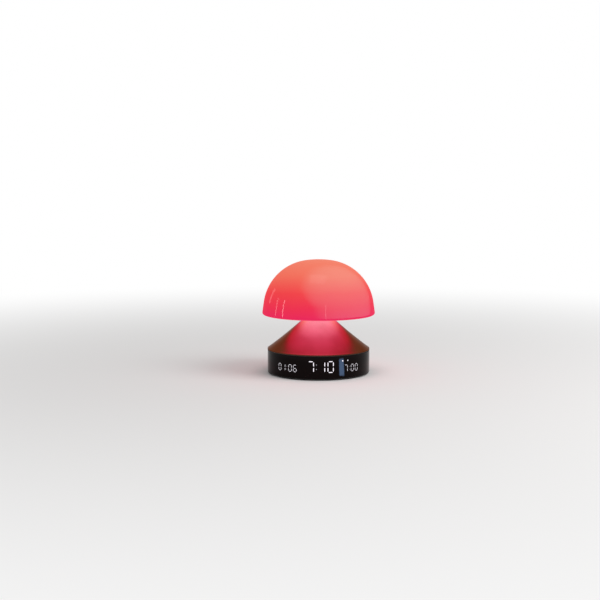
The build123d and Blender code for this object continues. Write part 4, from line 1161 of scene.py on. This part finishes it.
glow_lamp = add_object("plate_glow", bpy.data.lights.new("plate_glow", "AREA"))
glow_lamp.data.shape = "DISK"
glow_lamp.data.size = 2 * plate_high.x
glow_lamp.data.energy = plate_light_strength * pi * pi * plate_high.x ** 2
glow_lamp.data.use_nodes = True
start = Link(glow_lamp.data.node_tree)
place = start.make("ShaderNodeNewGeometry", output="Parametric").moved(0.5, 0.5, 0)
colour = start.make("ShaderNodeValToRGB", {0: place.from_axis() * 2}, stops=plate_light)
start.fill("Emission", {"Color": colour})
glow_lamp.location = (0, 0, plate_low.z - lamp_below_plate)
glow_lamp.visible_camera = False
glow_lamp.visible_diffuse = False

# ---------------------------------------------------------------------------
# Dome: opal plastic, moulded in one piece and lit from inside: coral at the top,
# red in the middle and magenta at the rim, with a smooth sheen.

dome_low, dome_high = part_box("dome_shell")
rim_height = dome_low.z
dome_top = dome_high.z
dome_radius = 60.3 * mm
crown_angle = radians(8.8)
skirt_lean = radians(8.0)
shoulder_level = 6 * mm
dome_wall = 3.2 * mm
rim_round = 2.2 * mm
rim_inner_round = 0.6 * mm
rim_steps = 10
dome_steps = 320
crown_steps = 14
shoulder_steps = 72
# height of the painted highlight along the lowest edge of the dome's rim
painted_rim_highlight_height = 1.6 * mm

rise = dome_top - rim_height - shoulder_level
reach = dome_radius - shoulder_level * tan(skirt_lean)
excess = (reach - rise / cos(skirt_lean)) / (sin(crown_angle) - (1 - cos(crown_angle)) / cos(skirt_lean))
shoulder_radius = rise - excess * (1 - cos(crown_angle))
crown_radius = shoulder_radius + excess


def dome_line(inset):
    """From the top of the dome down its crown and shoulder, moved inwards by inset."""
    crown_centre = Vector((0, dome_top - crown_radius))
    shoulder_centre = Vector((excess * sin(crown_angle), rim_height + shoulder_level))
    line = []
    for k in range(crown_steps):
        turn = crown_angle * k / crown_steps
        line.append(crown_centre + (crown_radius - inset) * Vector((sin(turn), cos(turn))))
    for k in range(shoulder_steps + 1):
        turn = crown_angle + (pi / 2 - skirt_lean - crown_angle) * k / shoulder_steps
        line.append(shoulder_centre + (shoulder_radius - inset) * Vector((sin(turn), cos(turn))))
    line[0].x = 0
    return line


dome_corners = [
    *((*point, 0) for point in dome_line(0)),
    (dome_radius, rim_height, rim_round),
    (dome_radius - dome_wall / cos(skirt_lean), rim_height, rim_inner_round),
    *((*point, 0) for point in reversed(dome_line(dome_wall))),
]


def opal_looks(point):
    """Opal plastic lit from inside. Glow and base colour go with height, the base colour as painted light;
    the wall clouds it a little. The rim's lowest edge has a painted highlight.
    """
    cloud = (point.noise(30 * mm) - 0.5) * 0.10
    height = (point.axis("Z") - rim_height) / (dome_top - rim_height) + cloud
    glow = height.make("ShaderNodeValToRGB", {0: height}, stops=[
        (0.0, (0.74, 0.003, 0.078)),
        (0.20, (0.77, 0.006, 0.048)),
        (0.45, (0.79, 0.022, 0.030)),
        (0.75, (0.79, 0.110, 0.060)),
        (1.0, (0.78, 0.150, 0.080)),
    ])
    # Painted highlight: the glow turns pinker and brighter along the rim's lowest edge.
    edge = 1 - point.axis("Z").over(rim_height, rim_height + painted_rim_highlight_height)
    glow_and_painted_rim_highlight = (edge * 0.35).blend(glow, (1.0, 0.20, 0.26))
    return {
        # Painted light: the base colour follows the glow with height, paler towards the top.
        "Base Color": height.blend((0.12, 0.014, 0.030), (0.14, 0.075, 0.060)),
        "Roughness": 0.42,
        "Specular IOR Level": 0.0,
        "Coat Weight": 0.07,
        "Coat IOR": 2.4,
        "Coat Roughness": 0.06,
        "Emission Color": glow_and_painted_rim_highlight,
        "Emission Strength": 1.0,
        "Normal": point.noise(9 * mm, 1.0).bump(0.004 * mm),
    }


opal = finish("opal", opal_looks)
dome_mesh = bmesh.new()
turn_outline(dome_mesh, rounded(dome_corners, rim_steps), dome_steps, closed=False)
dome = piece_from("opal_dome", dome_mesh, opal, "head")
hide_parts("dome_shell")

gloss_lamps(
    dome,
    lamp("sheen_screen", 68, 44, 0.6, (5.6, 3.2), 6.7, tint=(0.0, 1.0, 0.95), feather=1.0, roll=-20),
    lamp("glint_strip_side", -93.5, 6, 0.6, (0.012, 0.20), 16.0),
    lamp("glint_strip_left", -74.5, 6, 0.6, (0.018, 0.24), 19.0),
    lamp("glint_strip_back", -120, 12, 0.6, (0.06, 0.20), 5.0),
    lamp("glint_strip_front", 14, 8, 0.6, (0.012, 0.16), 8.0),
)
